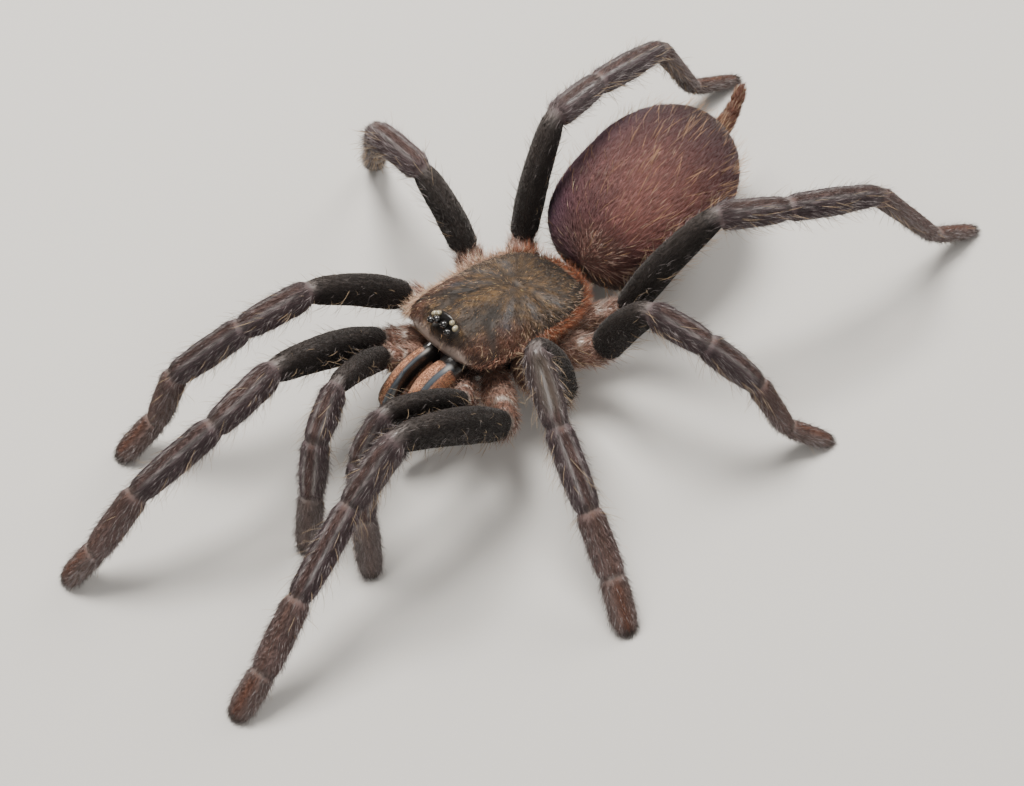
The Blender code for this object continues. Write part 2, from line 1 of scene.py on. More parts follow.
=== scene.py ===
"""A life-size still model of a ground tarantula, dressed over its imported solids.

The spider faces -Y and its left side is +X. Its trunk is laid out in the body frame of the solids:
outward, forward and up, in carapace lengths, tipped a little nose-up and left side up. The skin, the
plates and the jaws are grids of points, called surfaces. Every hair is a thin solid spike whose root
stands on one of them, and its colour comes from the same markings as the skin there.
"""

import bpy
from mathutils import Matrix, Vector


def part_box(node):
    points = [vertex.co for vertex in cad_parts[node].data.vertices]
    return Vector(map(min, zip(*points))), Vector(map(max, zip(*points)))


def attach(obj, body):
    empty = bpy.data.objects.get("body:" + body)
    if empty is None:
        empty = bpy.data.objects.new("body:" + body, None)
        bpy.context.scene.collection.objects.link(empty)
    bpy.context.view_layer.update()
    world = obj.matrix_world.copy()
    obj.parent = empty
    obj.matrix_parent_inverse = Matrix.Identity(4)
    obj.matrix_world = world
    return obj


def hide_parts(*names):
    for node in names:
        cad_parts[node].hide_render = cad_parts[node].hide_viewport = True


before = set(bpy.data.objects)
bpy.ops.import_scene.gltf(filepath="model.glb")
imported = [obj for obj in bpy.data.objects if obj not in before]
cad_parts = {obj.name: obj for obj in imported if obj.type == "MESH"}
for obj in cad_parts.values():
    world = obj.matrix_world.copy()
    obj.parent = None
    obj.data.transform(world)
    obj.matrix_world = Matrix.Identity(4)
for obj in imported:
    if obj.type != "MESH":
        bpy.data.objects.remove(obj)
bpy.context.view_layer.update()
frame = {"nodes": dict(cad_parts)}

import logging
import math
from dataclasses import dataclass
from enum import Enum

import bpy
import numpy as np
from mathutils import Matrix, Vector

log = logging.getLogger("tarantula")

# Driving dimensions: the carapace in metres, and how the trunk is held, in its lengths and in degrees.
CARAPACE = 0.0145
TRUNK_HEIGHT = 0.526
NOSE_UP = 8.2
LEFT_SIDE_UP = 6.0
MILLIMETRE = 0.001
LEFT, RIGHT = 1, -1
SIDES = {LEFT: "left", RIGHT: "right"}

# How near the floor a hair and the skin may come, in metres.
HAIR_OVER_FLOOR = 0.00002
SKIN_OVER_FLOOR = 0.00005

# The part of the bake map that a surface fills, where it starts, and a tuft's half-size on it.
BAKE_SPAN = np.array([0.94, 0.96])
BAKE_START = np.array([0.03, 0.02])
TUFT_PATCH = 0.0015

# The camera: where it looks on the floor and from how far, in carapace lengths, and from which side.
CAMERA_AIM = (0.1725, -0.0836, 0.0)
CAMERA_DISTANCE = 13.688
CAMERA_AZIMUTH = math.radians(47.63)
CAMERA_ELEVATION = math.radians(54.31)
CAMERA_LENS = 84.683

# Each softbox: its place and side in metres, its power in watts and its colour.
SOFTBOXES = {
    "key_softbox": ((-0.14, 0.02, 0.34), 0.15, 2.35, (1.0, 0.97, 0.92)),
    "side_softbox": ((0.26, -0.20, 0.22), 0.18, 0.35, (1.0, 0.98, 0.96)),
    "rear_softbox": ((-0.02, 0.30, 0.24), 0.18, 0.7, (1.0, 0.97, 0.93)),
}


def unit(vectors: np.ndarray) -> np.ndarray:
    """The same directions with length one."""
    return vectors / np.linalg.norm(vectors, axis=-1, keepdims=True).clip(1e-12)


def square_to(vectors: np.ndarray, ahead: np.ndarray) -> np.ndarray:
    """Directions turned to stand square to others that have length one."""
    return unit(vectors - ahead * (vectors * ahead).sum(1, keepdims=True))


def round_turn(count: int) -> np.ndarray:
    """Equal steps of one whole turn, in radians."""
    return 2 * np.pi * np.arange(count) / count


def bump(values: np.ndarray, middle: float, width: float) -> np.ndarray:
    """A soft hill of height one round a middle value."""
    return np.exp(-(((values - middle) / width) ** 2))


def ramp(values: np.ndarray, low: float, high: float) -> np.ndarray:
    """Zero below low, one above high, and a smooth rise between."""
    share = np.clip((values - low) / (high - low), 0, 1)
    return share * share * (3 - 2 * share)


def fall(values: np.ndarray, low: float, high: float) -> np.ndarray:
    """One below low, zero above high, and a smooth fall between."""
    return 1 - ramp(values, low, high)


def mix(first: np.ndarray, second: np.ndarray, share: np.ndarray) -> np.ndarray:
    """Blends two colours by a share that has one value for each point."""
    share = np.asarray(share)[..., None]
    return first * (1 - share) + second * share


class Pelt(Enum):
    """The colours of skin and hair, each named for where it lies; some also name the light or shade painted
    in them.
    """

    FEMUR = "292320"
    FEMUR_SHEEN = "3c332f"
    PATELLA = "58494a"
    TIBIA = "524345"
    METATARSUS = "64504c"
    TARSUS = "66544f"
    TARSUS_STRIPE = "5b3626"
    FEELER = "6a5f5c"
    SHIN_STRIPE = "553a2f"
    TROCHANTER = "7c5a4c"
    COXA = "856455"
    MEMBRANE_AND_HIGHLIGHT = "e4dcd2"
    BALD_STRIPE_HIGHLIGHT = "7f7977"
    KNEE = "4d443b"
    SCOPULA = "4d433f"
    FUZZ = "a39998"
    BRISTLE = "b59c7e"
    OLIVE = "42352a"
    CAPUT_SIDE = "68483a"
    GROOVE_SHADE = "1f1914"
    RIDGE_SHEEN = "3a3d42"
    BRONZE = "7a5d38"
    CLYPEUS = "9a8b82"
    FRINGE_BUFF = "c9a58b"
    DOWN = "c4a596"
    FRINGE_PINK = "7d5545"
    FRINGE_ORANGE = "874d30"
    JAW_BAND = "c98d6b"
    JAW_BALD = "59626b"
    JAW_DARK = "171312"
    JAW_SIDE = "80695a"
    ABDOMEN = "4e3033"
    ABDOMEN_ROSE = "86574f"
    ABDOMEN_VIOLET = "472f46"
    ABDOMEN_DARK = "3f2620"
    ABDOMEN_FRONT = "7a584f"
    ABDOMEN_BELOW = "46362f"
    BOOK_LUNG = "9a7f68"
    GOLD = "c79a6e"
    SPINNERET = "5c3525"
    STERNUM = "2f2622"
    BELLY = "4a3830"

    @property
    def rgb(self) -> np.ndarray:
        """The colour as linear red, green and blue, from 0 to 1."""
        values = np.array([int(self.value[i : i + 2], 16) for i in (0, 2, 4)]) / 255
        return np.where(values <= 0.04045, values / 12.92, ((values + 0.055) / 1.055) ** 2.4)

    def over(self, shape: tuple[int, ...]) -> np.ndarray:
        """The colour at every point of a grid of that shape."""
        return np.broadcast_to(self.rgb, (*shape, 3))


def paint(tint: np.ndarray, *layers: tuple[Pelt, np.ndarray]) -> np.ndarray:
    """Lays markings, and painted light and shade, over a tint.

    Args:
        tint: Colour of each point.
        layers: The colour of each marking or painted light and shade, and how strongly each point takes it.

    Returns:
        The colours with all the markings on them.
    """
    for colour, share in layers:
        tint = mix(tint, colour.rgb, share)
    return tint


# --- The trunk's frame -----------------------------------------------------------------------------


@dataclass(frozen=True)
class TrunkFrame:
    """The tipped frame of the trunk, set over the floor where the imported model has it.

    Coordinates run out, forward and up, as numbers or as arrays. Side turns them to left or right.
    """

    shift: np.ndarray

    @staticmethod
    def direction(out: float, forward: float, up: float, side: int = LEFT) -> np.ndarray:
        """A direction of the trunk's frame in the world."""
        pitch, roll = math.radians(NOSE_UP), math.radians(LEFT_SIDE_UP)
        left = side * out * math.cos(roll) - up * math.sin(roll)
        lift = side * out * math.sin(roll) + up * math.cos(roll)
        ahead = forward * math.cos(pitch) - lift * math.sin(pitch)
        rise = forward * math.sin(pitch) + lift * math.cos(pitch)
        return np.stack(np.broadcast_arrays(left, -ahead, rise), -1)

    def point(self, out: float, forward: float, up: float, side: int = LEFT) -> np.ndarray:
        """A point of the trunk's frame in the world, in metres."""
        place = self.direction(out, forward, up, side) + np.array([0.0, 0.0, TRUNK_HEIGHT])
        return place * CARAPACE + self.shift

    def path(self, points: tuple, share: np.ndarray, side: int) -> np.ndarray:
        """Places in the world on a smooth curve through points of the trunk's frame."""
        return self.point(*curve_through(points, share).T, side)

    @classmethod
    def from_packed_model(cls) -> "TrunkFrame":
        """Finds the sideways shift by comparing one eye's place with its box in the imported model."""
        low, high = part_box("front_middle_eye_left")
        eye = cls(np.zeros(3)).point(*EYE_PLACES["front_middle_eye"].place)
        return cls(np.array([(low.x + high.x) / 2 - eye[0], (low.y + high.y) / 2 - eye[1], 0.0]))


@dataclass(frozen=True)
class EyePlace:
    """Where an eye of each side sits and its half-sizes, both as out, forward and up."""

    place: tuple[float, float, float]
    halves: tuple[float, float, float]
    pale: bool


EYE_PLACES = {
    "front_middle_eye": EyePlace((0.028, 0.464, 0.196), (0.022, 0.022, 0.022), False),
    "front_side_eye": EyePlace((0.067, 0.474, 0.173), (0.023, 0.019, 0.019), False),
    "rear_middle_eye": EyePlace((0.053, 0.426, 0.203), (0.016, 0.018, 0.014), True),
    "rear_side_eye": EyePlace((0.080, 0.428, 0.182), (0.016, 0.023, 0.017), True),
}


# --- Surfaces and meshes ---------------------------------------------------------------------------


@dataclass
class Surface:
    """A grid of points, rows along a part and columns all the way round it, with its markings.

    Attributes:
        points: Places in metres, as rows, columns and three coordinates.
        tint: Linear colour at each point.
        bald: 0 where hair covers the skin and 1 where it is bare and shiny.
    """

    points: np.ndarray
    tint: np.ndarray
    bald: np.ndarray

    @classmethod
    def plain(cls, points: np.ndarray, colour: Pelt, bald: float = 0.0) -> "Surface":
        """A surface of one colour, and as bare all over."""
        shape = points.shape[:2]
        return cls(points, colour.over(shape), np.full(shape, bald))

    def corners(self) -> tuple[np.ndarray, np.ndarray]:
        """The row and the column of every cell's first corner, flattened."""
        rows, columns = self.points.shape[:2]
        return tuple(grid.ravel() for grid in np.indices((rows - 1, columns)))

    def blend(self, values: np.ndarray, row, column, down, over) -> np.ndarray:
        """Values inside cells, mixed from their four corners.

        Args:
            values: One value or vector for each grid point.
            row: Row of each cell.
            column: Column of each cell.
            down: Share of the way to the next row.
            over: Share of the way to the next column.

        Returns:
            The blended values.
        """
        after = (column + 1) % self.points.shape[1]
        if values.ndim == 3:
            down, over = down[:, None], over[:, None]
        near = values[row, column] * (1 - over) + values[row, after] * over
        far = values[row + 1, column] * (1 - over) + values[row + 1, after] * over
        return near * (1 - down) + far * down

    def normals(self) -> np.ndarray:
        """Smooth outward normals at the grid points."""
        along = np.gradient(self.points, axis=0)
        over = np.roll(self.points, -1, axis=1) - np.roll(self.points, 1, axis=1)
        return unit(np.cross(over, along))

    def spacing(self) -> np.ndarray:
        """Distances in millimetres, round and along, that streaks in the skin follow."""
        steps = np.linalg.norm(np.diff(self.points, axis=0), axis=2).mean(axis=1)
        along = np.concatenate([[0.0], np.cumsum(steps)])
        wide = np.linalg.norm(np.roll(self.points, -1, axis=1) - self.points, axis=2).sum(axis=1)
        columns = self.points.shape[1]
        around = np.arange(columns + 1) / columns * np.median(wide)
        return np.stack(np.meshgrid(around, along), -1) / MILLIMETRE


class MeshParts:
    """Plain arrays from which one mesh is made."""

    def __init__(self) -> None:
        """Starts with nothing."""
        self.arrays = {name: [] for name in ("verts", "tint", "bald", "loops", "sizes", "bake", "lie")}
        self.count = 0

    def add(self, **arrays: np.ndarray) -> None:
        """Adds one body.

        Args:
            arrays: For each point its place (verts), colour (tint) and bareness (bald); for each
                corner its point's number (loops) and its coordinates on the bake map (bake) and
                for streaks (lie); and for each face how many corners it has (sizes).
        """
        arrays["loops"] = arrays["loops"] + self.count
        self.count += len(arrays["verts"])
        for name, values in arrays.items():
            self.arrays[name].append(values)

    def add_surface(self, surface: Surface, index: int = 0, total: int = 1) -> None:
        """Adds a surface, closed at its ends, in its own strip of the bake map.

        Args:
            surface: The grid of points.
            index: Which strip it takes.
            total: How many strips there are.
        """
        rows, columns = surface.points.shape[:2]
        row, column = surface.corners()
        grid_row = np.stack([row, row, row + 1, row + 1], 1).ravel()
        grid_column = np.stack([column, column + 1, column + 1, column], 1).ravel()
        spacing = surface.spacing()
        loops = [grid_row * columns + grid_column % columns]
        bake = [np.stack([grid_column / columns, grid_row / (rows - 1)], 1)]
        lie = [spacing[grid_row, grid_column]]
        ring = np.arange(columns)
        for pole in (0, 1):
            rim = np.stack([ring, (ring + 1) % columns], 1)[:, :: 2 * pole - 1] + pole * (rows - 1) * columns
            loops.append(np.insert(rim, 0, rows * columns + pole, axis=1).ravel())
            bake.append(np.stack([np.repeat((ring + 0.5) / columns, 3), np.full(3 * columns, pole)], 1))
            lie.append(np.repeat(spacing[-pole, :columns], 3, axis=0))
        values = {
            name: np.concatenate([grid.reshape(rows * columns, *grid.shape[2:]), grid[[0, -1]].mean(1)])
            for name, grid in (("verts", surface.points), ("tint", surface.tint), ("bald", surface.bald))
        }
        place = np.concatenate(bake) * BAKE_SPAN + BAKE_START + (index, 0)
        self.add(
            loops=np.concatenate(loops),
            sizes=np.repeat([4, 3], [len(row), 2 * columns]),
            bake=place / (total, 1),
            lie=np.concatenate(lie),
            **values,
        )

    def build(self, name: str, finish: "Finish", slot: str, *nodes: str) -> bpy.types.Object:
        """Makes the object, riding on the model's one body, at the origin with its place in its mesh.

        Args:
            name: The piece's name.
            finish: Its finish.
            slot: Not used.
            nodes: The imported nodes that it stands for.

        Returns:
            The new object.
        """
        arrays = {key: np.concatenate(values) for key, values in self.arrays.items()}
        sizes = arrays["sizes"]
        mesh = bpy.data.meshes.new(name)
        mesh.vertices.add(len(arrays["verts"]))
        mesh.vertices.foreach_set("co", arrays["verts"].astype(np.float32).ravel())
        mesh.loops.add(len(arrays["loops"]))
        mesh.loops.foreach_set("vertex_index", arrays["loops"].astype(np.int32))
        mesh.polygons.add(len(sizes))
        mesh.polygons.foreach_set("loop_start", (np.cumsum(sizes) - sizes).astype(np.int32))
        for layer, key in (("OFBake", "bake"), ("lie", "lie")):
            uv = mesh.uv_layers.new(name=layer).uv
            uv.foreach_set("vector", arrays[key].astype(np.float32).ravel())
        colours = mesh.color_attributes.new("pelt", "FLOAT_COLOR", "POINT").data
        colours.foreach_set("color", np.insert(arrays["tint"], 3, 1, axis=1).astype(np.float32).ravel())
        bare = mesh.attributes.new("bald", "FLOAT", "POINT").data
        bare.foreach_set("value", arrays["bald"].astype(np.float32))
        mesh.update(calc_edges=True)
        mesh.shade_smooth()
        mesh.materials.append(finish.material)
        piece = bpy.data.objects.new(name, mesh)
        bpy.context.scene.collection.objects.link(piece)
        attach(piece, "root")
        if nodes:
            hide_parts(*nodes)
        log.info("%s: %d triangles", name, int((sizes - 2).sum()))
        return piece


def dress(surface: Surface, name: str, finish: "Finish", slot: str, *nodes: str) -> None:
    """Makes one piece of one surface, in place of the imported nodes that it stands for."""
    parts = MeshParts()
    parts.add_surface(surface)
    parts.build(name, finish, slot, *nodes)


def tube(centres, across, upward, wide, deep, columns: int) -> np.ndarray:
    """Rings of an ellipse along a path.

    Args:
        centres: The path's points.
        across: Sideways direction at each.
        upward: Upward direction at each.
        wide: Half-width at each.
        deep: Half-depth at each.
        columns: How many points each ring has. The first is on the sideways direction.

    Returns:
        Points as rows, columns and three coordinates.
    """
    turn = round_turn(columns)
    side = across[:, None] * (wide[:, None] * np.cos(turn))[..., None]
    rise = upward[:, None] * (deep[:, None] * np.sin(turn))[..., None]
    return centres[:, None] + side + rise


def curve_through(points: tuple, along: np.ndarray) -> np.ndarray:
    """Places on a smooth curve through a few points.

    Args:
        points: The points that the curve passes.
        along: Where on it, from 0 to 1.

    Returns:
        One place for each value.
    """
    places = np.array(points, float)
    places = np.concatenate([[2 * places[0] - places[1]], places, [2 * places[-1] - places[-2]]])
    spans = len(places) - 3
    here = np.clip(along * spans, 0, spans - 1e-9)
    k = here.astype(int)
    t = (here - k)[:, None]
    a, b, c, d = (places[k + i] for i in range(4))
    return 0.5 * (2 * b + (c - a) * t + (2 * a - 5 * b + 4 * c - d) * t**2 + (3 * b - a - 3 * c + d) * t**3)


# --- Hair ------------------------------------------------------------------------------------------


@dataclass(frozen=True)
class HairStyle:
    """How one kind of hair grows.

    Attributes:
        per_mm2: Hairs to a square millimetre where the cover is full.
        length: In millimetres.
        width: In millimetres, at the root.
        lift: Degrees off the skin at the root.
        curl: How far the tip bends back towards the skin, 1 being all the way.
        stray: Degrees of scatter in direction.
        joints: Sections to a hair: one for short pile, more for what curves.
        root: Shade at the root, as a share of the skin's colour there.
        tip: Shade at the tip. Tips lighter than roots are partly the hair's own pale tips and partly painted
            sheen.
        pale: Share of hairs that take the pale colour.
        pale_colour: That colour.
        tone: Scatter of brightness from hair to hair.
    """

    per_mm2: float
    length: float
    width: float
    lift: float
    curl: float
    stray: float
    joints: int
    root: float
    tip: float
    pale: float = 0.0
    pale_colour: Pelt = Pelt.BRISTLE
    tone: float = 0.22


class Hair(Enum):
    """Every kind of hair, with the values of its style in their order."""

    FEMUR_VELVET = HairStyle(74, 0.80, 0.050, 12, 0.6, 7, 1, 0.75, 1.3, 0.0, Pelt.BRISTLE, 0.16)
    SHIN_PILE = HairStyle(78, 0.85, 0.040, 13, 0.6, 6, 1, 0.8, 1.22, 0.04, Pelt.FUZZ, 0.12)
    HIP_FRONT = HairStyle(50, 1.35, 0.040, 30, 0.4, 30, 1, 0.5, 1.6, 0.12, Pelt.DOWN, 0.35)
    HIP_REAR = HairStyle(50, 1.35, 0.040, 30, 0.4, 30, 1, 0.5, 1.6, 0.45, Pelt.DOWN, 0.35)
    FUZZ = HairStyle(46, 1.15, 0.030, 42, 0.35, 12, 1, 0.9, 1.3, 0.6, Pelt.FUZZ)
    LEG_BRISTLE = HairStyle(2.2, 2.3, 0.042, 52, 0.45, 18, 3, 0.9, 1.3, 1.0, Pelt.BRISTLE, 0.18)
    SOLE_BRUSH = HairStyle(60, 0.42, 0.05, 62, 0.1, 14, 1, 0.8, 1.1)
    TOE_TUFT = HairStyle(70, 0.75, 0.05, 32, 0.3, 20, 1, 0.8, 1.2)
    PLATE_FINE = HairStyle(100, 0.42, 0.034, 8, 0.6, 15, 1, 0.6, 1.7, 0.07, Pelt.GOLD, 0.42)
    PLATE_DOWN = HairStyle(60, 0.62, 0.034, 16, 0.5, 20, 1, 0.8, 1.8, 0.10, Pelt.FRINGE_BUFF, 0.3)
    PLATE_FRINGE = HairStyle(210, 1.25, 0.038, 20, 0.4, 24, 2, 0.7, 1.5, 0.12, Pelt.FRINGE_BUFF, 0.35)
    PLATE_STRAY = HairStyle(0.8, 1.1, 0.035, 45, 0.3, 30, 3, 0.9, 1.3, 1.0)
    ABDOMEN_PILE = HairStyle(82, 0.80, 0.047, 15, 0.45, 9, 1, 0.6, 1.35, 0.0, Pelt.BRISTLE, 0.17)
    ABDOMEN_DOWN = HairStyle(26, 1.4, 0.036, 34, 0.4, 18, 1, 0.8, 1.4, 0.4, Pelt.DOWN, 0.3)
    ABDOMEN_MIDDLE = HairStyle(5, 1.1, 0.04, 26, 0.45, 12, 2, 0.8, 1.5, 0.08, Pelt.BRISTLE, 0.3)
    ABDOMEN_GOLD = HairStyle(4.6, 2.5, 0.036, 56, 0.5, 15, 3, 0.95, 1.2, 1.0, Pelt.GOLD, 0.2)
    JAW_BAND = HairStyle(130, 0.42, 0.055, 17, 0.4, 16, 1, 0.32, 1.35, 0.0, Pelt.GOLD, 0.30)
    JAW_SIDE = HairStyle(60, 0.9, 0.045, 20, 0.5, 14, 1, 0.4, 1.5, 0.25, Pelt.BRISTLE, 0.35)
    JAW_FRINGE = HairStyle(70, 1.1, 0.05, 35, 0.3, 14, 2, 0.8, 1.2, 0.2, Pelt.FRINGE_ORANGE, 0.2)
    BREAST = HairStyle(40, 0.7, 0.06, 20, 0.4, 15, 1, 0.8, 1.4, 0.1)
    FLESH = HairStyle(45, 0.8, 0.042, 24, 0.4, 20, 1, 0.6, 1.5, 0.15, Pelt.DOWN, 0.3)
    WAIST = HairStyle(60, 0.6, 0.040, 30, 0.4, 20, 1, 0.6, 1.5, 0.15, Pelt.DOWN, 0.3)
    SPINNERET = HairStyle(130, 0.70, 0.036, 24, 0.4, 12, 1, 0.6, 1.4, 0.12, Pelt.BRISTLE, 0.3)


class Coat:
    """The hairs of one surface, gathered into one piece."""

    def __init__(self, name: str, surface: Surface, seed: int) -> None:
        """Starts an empty coat.

        Args:
            name: The piece's name.
            surface: What it grows on.
            seed: Makes its scatter the same on every run.
        """
        self.name = name
        self.surface = surface
        self.random = np.random.default_rng(seed)
        self.parts = MeshParts()

    def roots(self, style: HairStyle, cover: np.ndarray) -> tuple[np.ndarray, ...]:
        """Chooses where hairs stand, by area and cover.

        Args:
            style: The kind of hair.
            cover: Share of full density at each grid point.

        Returns:
            Row, column and the two shares inside the cell, for each hair.
        """
        points = self.surface.points
        row, column = self.surface.corners()
        after = (column + 1) % points.shape[1]
        first = points[row + 1, after] - points[row, column]
        second = points[row + 1, column] - points[row, after]
        area = np.linalg.norm(np.cross(first, second), axis=1) / 2
        dense = (cover[row, column] + cover[row, after] + cover[row + 1, column] + cover[row + 1, after]) / 4
        weight = np.cumsum(area * dense)
        count = int(round(weight[-1] / MILLIMETRE**2 * style.per_mm2))
        cell = np.searchsorted(weight, self.random.random(count) * weight[-1]).clip(0, len(row) - 1)
        return row[cell], column[cell], self.random.random(count), self.random.random(count)

    def grow(self, hair: Hair, cover=1.0, flow=None, reach=1.0, lift=1.0, tint=None) -> None:
        """Grows one kind of hair.

        Args:
            hair: The kind of hair.
            cover: Share of full density at each grid point.
            flow: Direction that hairs point in at each grid point. Along the rows by default.
            reach: Share of full length at each grid point.
            lift: Share of full lift at each grid point.
            tint: Colour at each grid point, in place of the skin's.
        """
        style = hair.value
        surface = self.surface
        shape = surface.points.shape[:2]
        cover, reach, lift = (np.broadcast_to(value, shape) for value in (cover, reach, lift))
        cell = self.roots(style, cover)
        count = len(cell[0])
        place = surface.blend(surface.points, *cell)
        normal = unit(surface.blend(surface.normals(), *cell))
        flow = np.gradient(surface.points, axis=0) if flow is None else flow
        ahead = square_to(surface.blend(unit(flow), *cell), normal)
        swing = np.radians(self.random.normal(0, style.stray, count))[:, None]
        ahead = ahead * np.cos(swing) + np.cross(normal, ahead) * np.sin(swing)
        side = unit(np.cross(normal, ahead))
        length = surface.blend(reach, *cell) * style.length * MILLIMETRE
        length = (length * self.random.uniform(0.65, 1.25, count))[:, None]
        rise = surface.blend(lift, *cell) * style.lift * self.random.uniform(0.5, 1.5, count)
        rise = np.radians(rise)[:, None]
        rings = []
        for i in range(style.joints + 1):
            step = i / style.joints
            high = np.sin(rise) * (step - style.curl * step**2)
            spine = place + length * (ahead * (np.cos(rise) * step) + normal * high)
            # A curved hair swells a little before it tapers, and its root is set deep in the skin.
            full = 1.0 if style.joints == 1 else min(1.0, 0.8 + 0.6 * step)
            half = style.width * MILLIMETRE / 2 * full * (1 - step) ** 0.6
            low = spine - normal * (half * (0.35 if i else 1.2))
            rings.append(np.stack([low + side * half, spine + normal * (half * 0.9), low - side * half], 1))
        rings[-1] = rings[-1][:, :1]
        verts = np.concatenate(rings, 1)
        verts[..., 2] = verts[..., 2].clip(HAIR_OVER_FLOOR)
        self.add_hairs(style, verts, cell, surface.tint if tint is None else tint)

    def add_hairs(self, style: HairStyle, verts: np.ndarray, cell: tuple, tint: np.ndarray) -> None:
        """Adds grown hairs with their colours and their places on the bake map.

        Args:
            style: The kind of hair.
            verts: Points of each hair.
            cell: Where each root stands.
            tint: Colour at each grid point.
        """
        count, size = verts.shape[:2]
        shape = self.surface.points.shape
        colour = self.surface.blend(np.broadcast_to(tint, shape), *cell)
        colour[self.random.random(count) < style.pale] = style.pale_colour.rgb * 0.8
        colour = colour * np.exp(self.random.normal(0, style.tone, (count, 1)))
        # Each hair grows lighter from root to tip: partly its own pale tips, partly painted sheen.
        level = np.append(np.repeat(np.arange(style.joints) / style.joints, 3), 1.0)
        shade = style.root + (style.tip - style.root) * level
        colour = (colour[:, None] * shade[None, :, None]).clip(0, 0.9)
        faces = []
        for k in range(0, size - 4, 3):
            for i, j in ((0, 1), (1, 2), (2, 0)):
                faces += [(k + i, k + j, k + 3 + j), (k + i, k + 3 + j, k + 3 + i)]
        faces += [(size - 4 + i, size - 4 + (i + 1) % 3, size - 1) for i in range(3)]
        faces = np.array([*faces, (2, 1, 0)])
        loops = (faces.ravel() + np.arange(count)[:, None] * size).ravel()
        root = np.stack([(cell[1] + cell[3]) / shape[1], (cell[0] + cell[2]) / (shape[0] - 1)], 1)
        turn = round_turn(size)
        patch = TUFT_PATCH * np.stack([np.cos(turn), np.sin(turn)], 1)
        bake = ((root * BAKE_SPAN + BAKE_START)[:, None] + patch).reshape(-1, 2)[loops]
        self.parts.add(
            verts=verts.reshape(-1, 3),
            tint=colour.reshape(-1, 3),
            bald=np.zeros(count * size),
            loops=loops,
            sizes=np.full(len(faces) * count, 3),
            bake=bake,
            lie=bake,
        )

    def build(self, finish: "Finish", slot: str) -> None:
        """Makes the coat's object."""
        self.parts.build(self.name, finish, slot)


# --- Finishes --------------------------------------------------------------------------------------


class NodeKit:
    """Short words for wiring one shader tree."""

    def __init__(self, tree: bpy.types.NodeTree) -> None:
        """Keeps the tree that the other methods add to."""
        self.tree = tree

    def feed(self, node: bpy.types.Node, inputs: dict) -> None:
        """Gives a node's inputs, by name or number, a value or the output to join them to."""
        for key, value in inputs.items():
            if isinstance(value, bpy.types.NodeSocket):
                self.tree.links.new(value, node.inputs[key])
            else:
                node.inputs[key].default_value = value

    def add(self, kind: str, inputs: dict | None = None, **values) -> bpy.types.Node:
        """A new node with some of its properties and inputs set."""
        node = self.tree.nodes.new(kind)
        for key, value in values.items():
            setattr(node, key, value)
        self.feed(node, inputs or {})
        return node

    def math(self, operation: str, first, second) -> bpy.types.NodeSocket:
        """The result of one sum. Each side is a number or an output."""
        return self.add("ShaderNodeMath", {0: first, 1: second}, operation=operation).outputs[0]

    def swing(self, noise: bpy.types.NodeSocket, strength) -> bpy.types.NodeSocket:
        """A noise moved to both sides of zero and brought to a strength."""
        return self.math("MULTIPLY", self.math("SUBTRACT", noise, 0.5), strength)

    def scaled(self, colour, level: bpy.types.NodeSocket) -> bpy.types.NodeSocket:
        """A colour made brighter or darker by a level."""
        node = self.add("ShaderNodeVectorMath", {0: colour, "Scale": level}, operation="SCALE")
        return node.outputs["Vector"]


def grain_group() -> bpy.types.NodeTree:
    """The node group that mottles a colour and raises fine streaks along the lie of the hair.

    Returns:
        A group that takes Color, Mottle, Size and Streak and gives Color and Height.
    """
    tree = bpy.data.node_groups.new("lie_of_hair", "ShaderNodeTree")
    for way, names in (("INPUT", ("Color", "Mottle", "Size", "Streak")), ("OUTPUT", ("Color", "Height"))):
        for name in names:
            kind = "NodeSocketColor" if name == "Color" else "NodeSocketFloat"
            tree.interface.new_socket(name, in_out=way, socket_type=kind)
    kit = NodeKit(tree)
    given = kit.add("NodeGroupInput").outputs
    made = kit.add("NodeGroupOutput")
    place = kit.add("ShaderNodeTexCoord").outputs["Object"]
    blotch = kit.add("ShaderNodeTexNoise", {"Detail": 3.0, "Vector": place, "Scale": given["Size"]})
    lie = kit.add("ShaderNodeUVMap", uv_map="lie").outputs["UV"]
    stretch = kit.add("ShaderNodeMapping", {"Scale": (9.0, 1.4, 1.0), "Vector": lie}).outputs["Vector"]
    streak = kit.add("ShaderNodeTexNoise", {"Scale": 1.0, "Detail": 4.0, "Vector": stretch})
    soft = kit.swing(blotch.outputs["Fac"], given["Mottle"])
    fine = kit.swing(streak.outputs["Fac"], given["Streak"])
    level = kit.math("ADD", kit.math("ADD", soft, fine), 1.0)
    kit.feed(made, {"Color": kit.scaled(given["Color"], level), "Height": streak.outputs["Fac"]})
    return tree


def new_material(name: str) -> tuple[bpy.types.Material, NodeKit, bpy.types.Node]:
    made = bpy.data.materials.new(name)
    made.use_nodes = True
    return made, NodeKit(made.node_tree), made.node_tree.nodes["Principled BSDF"]


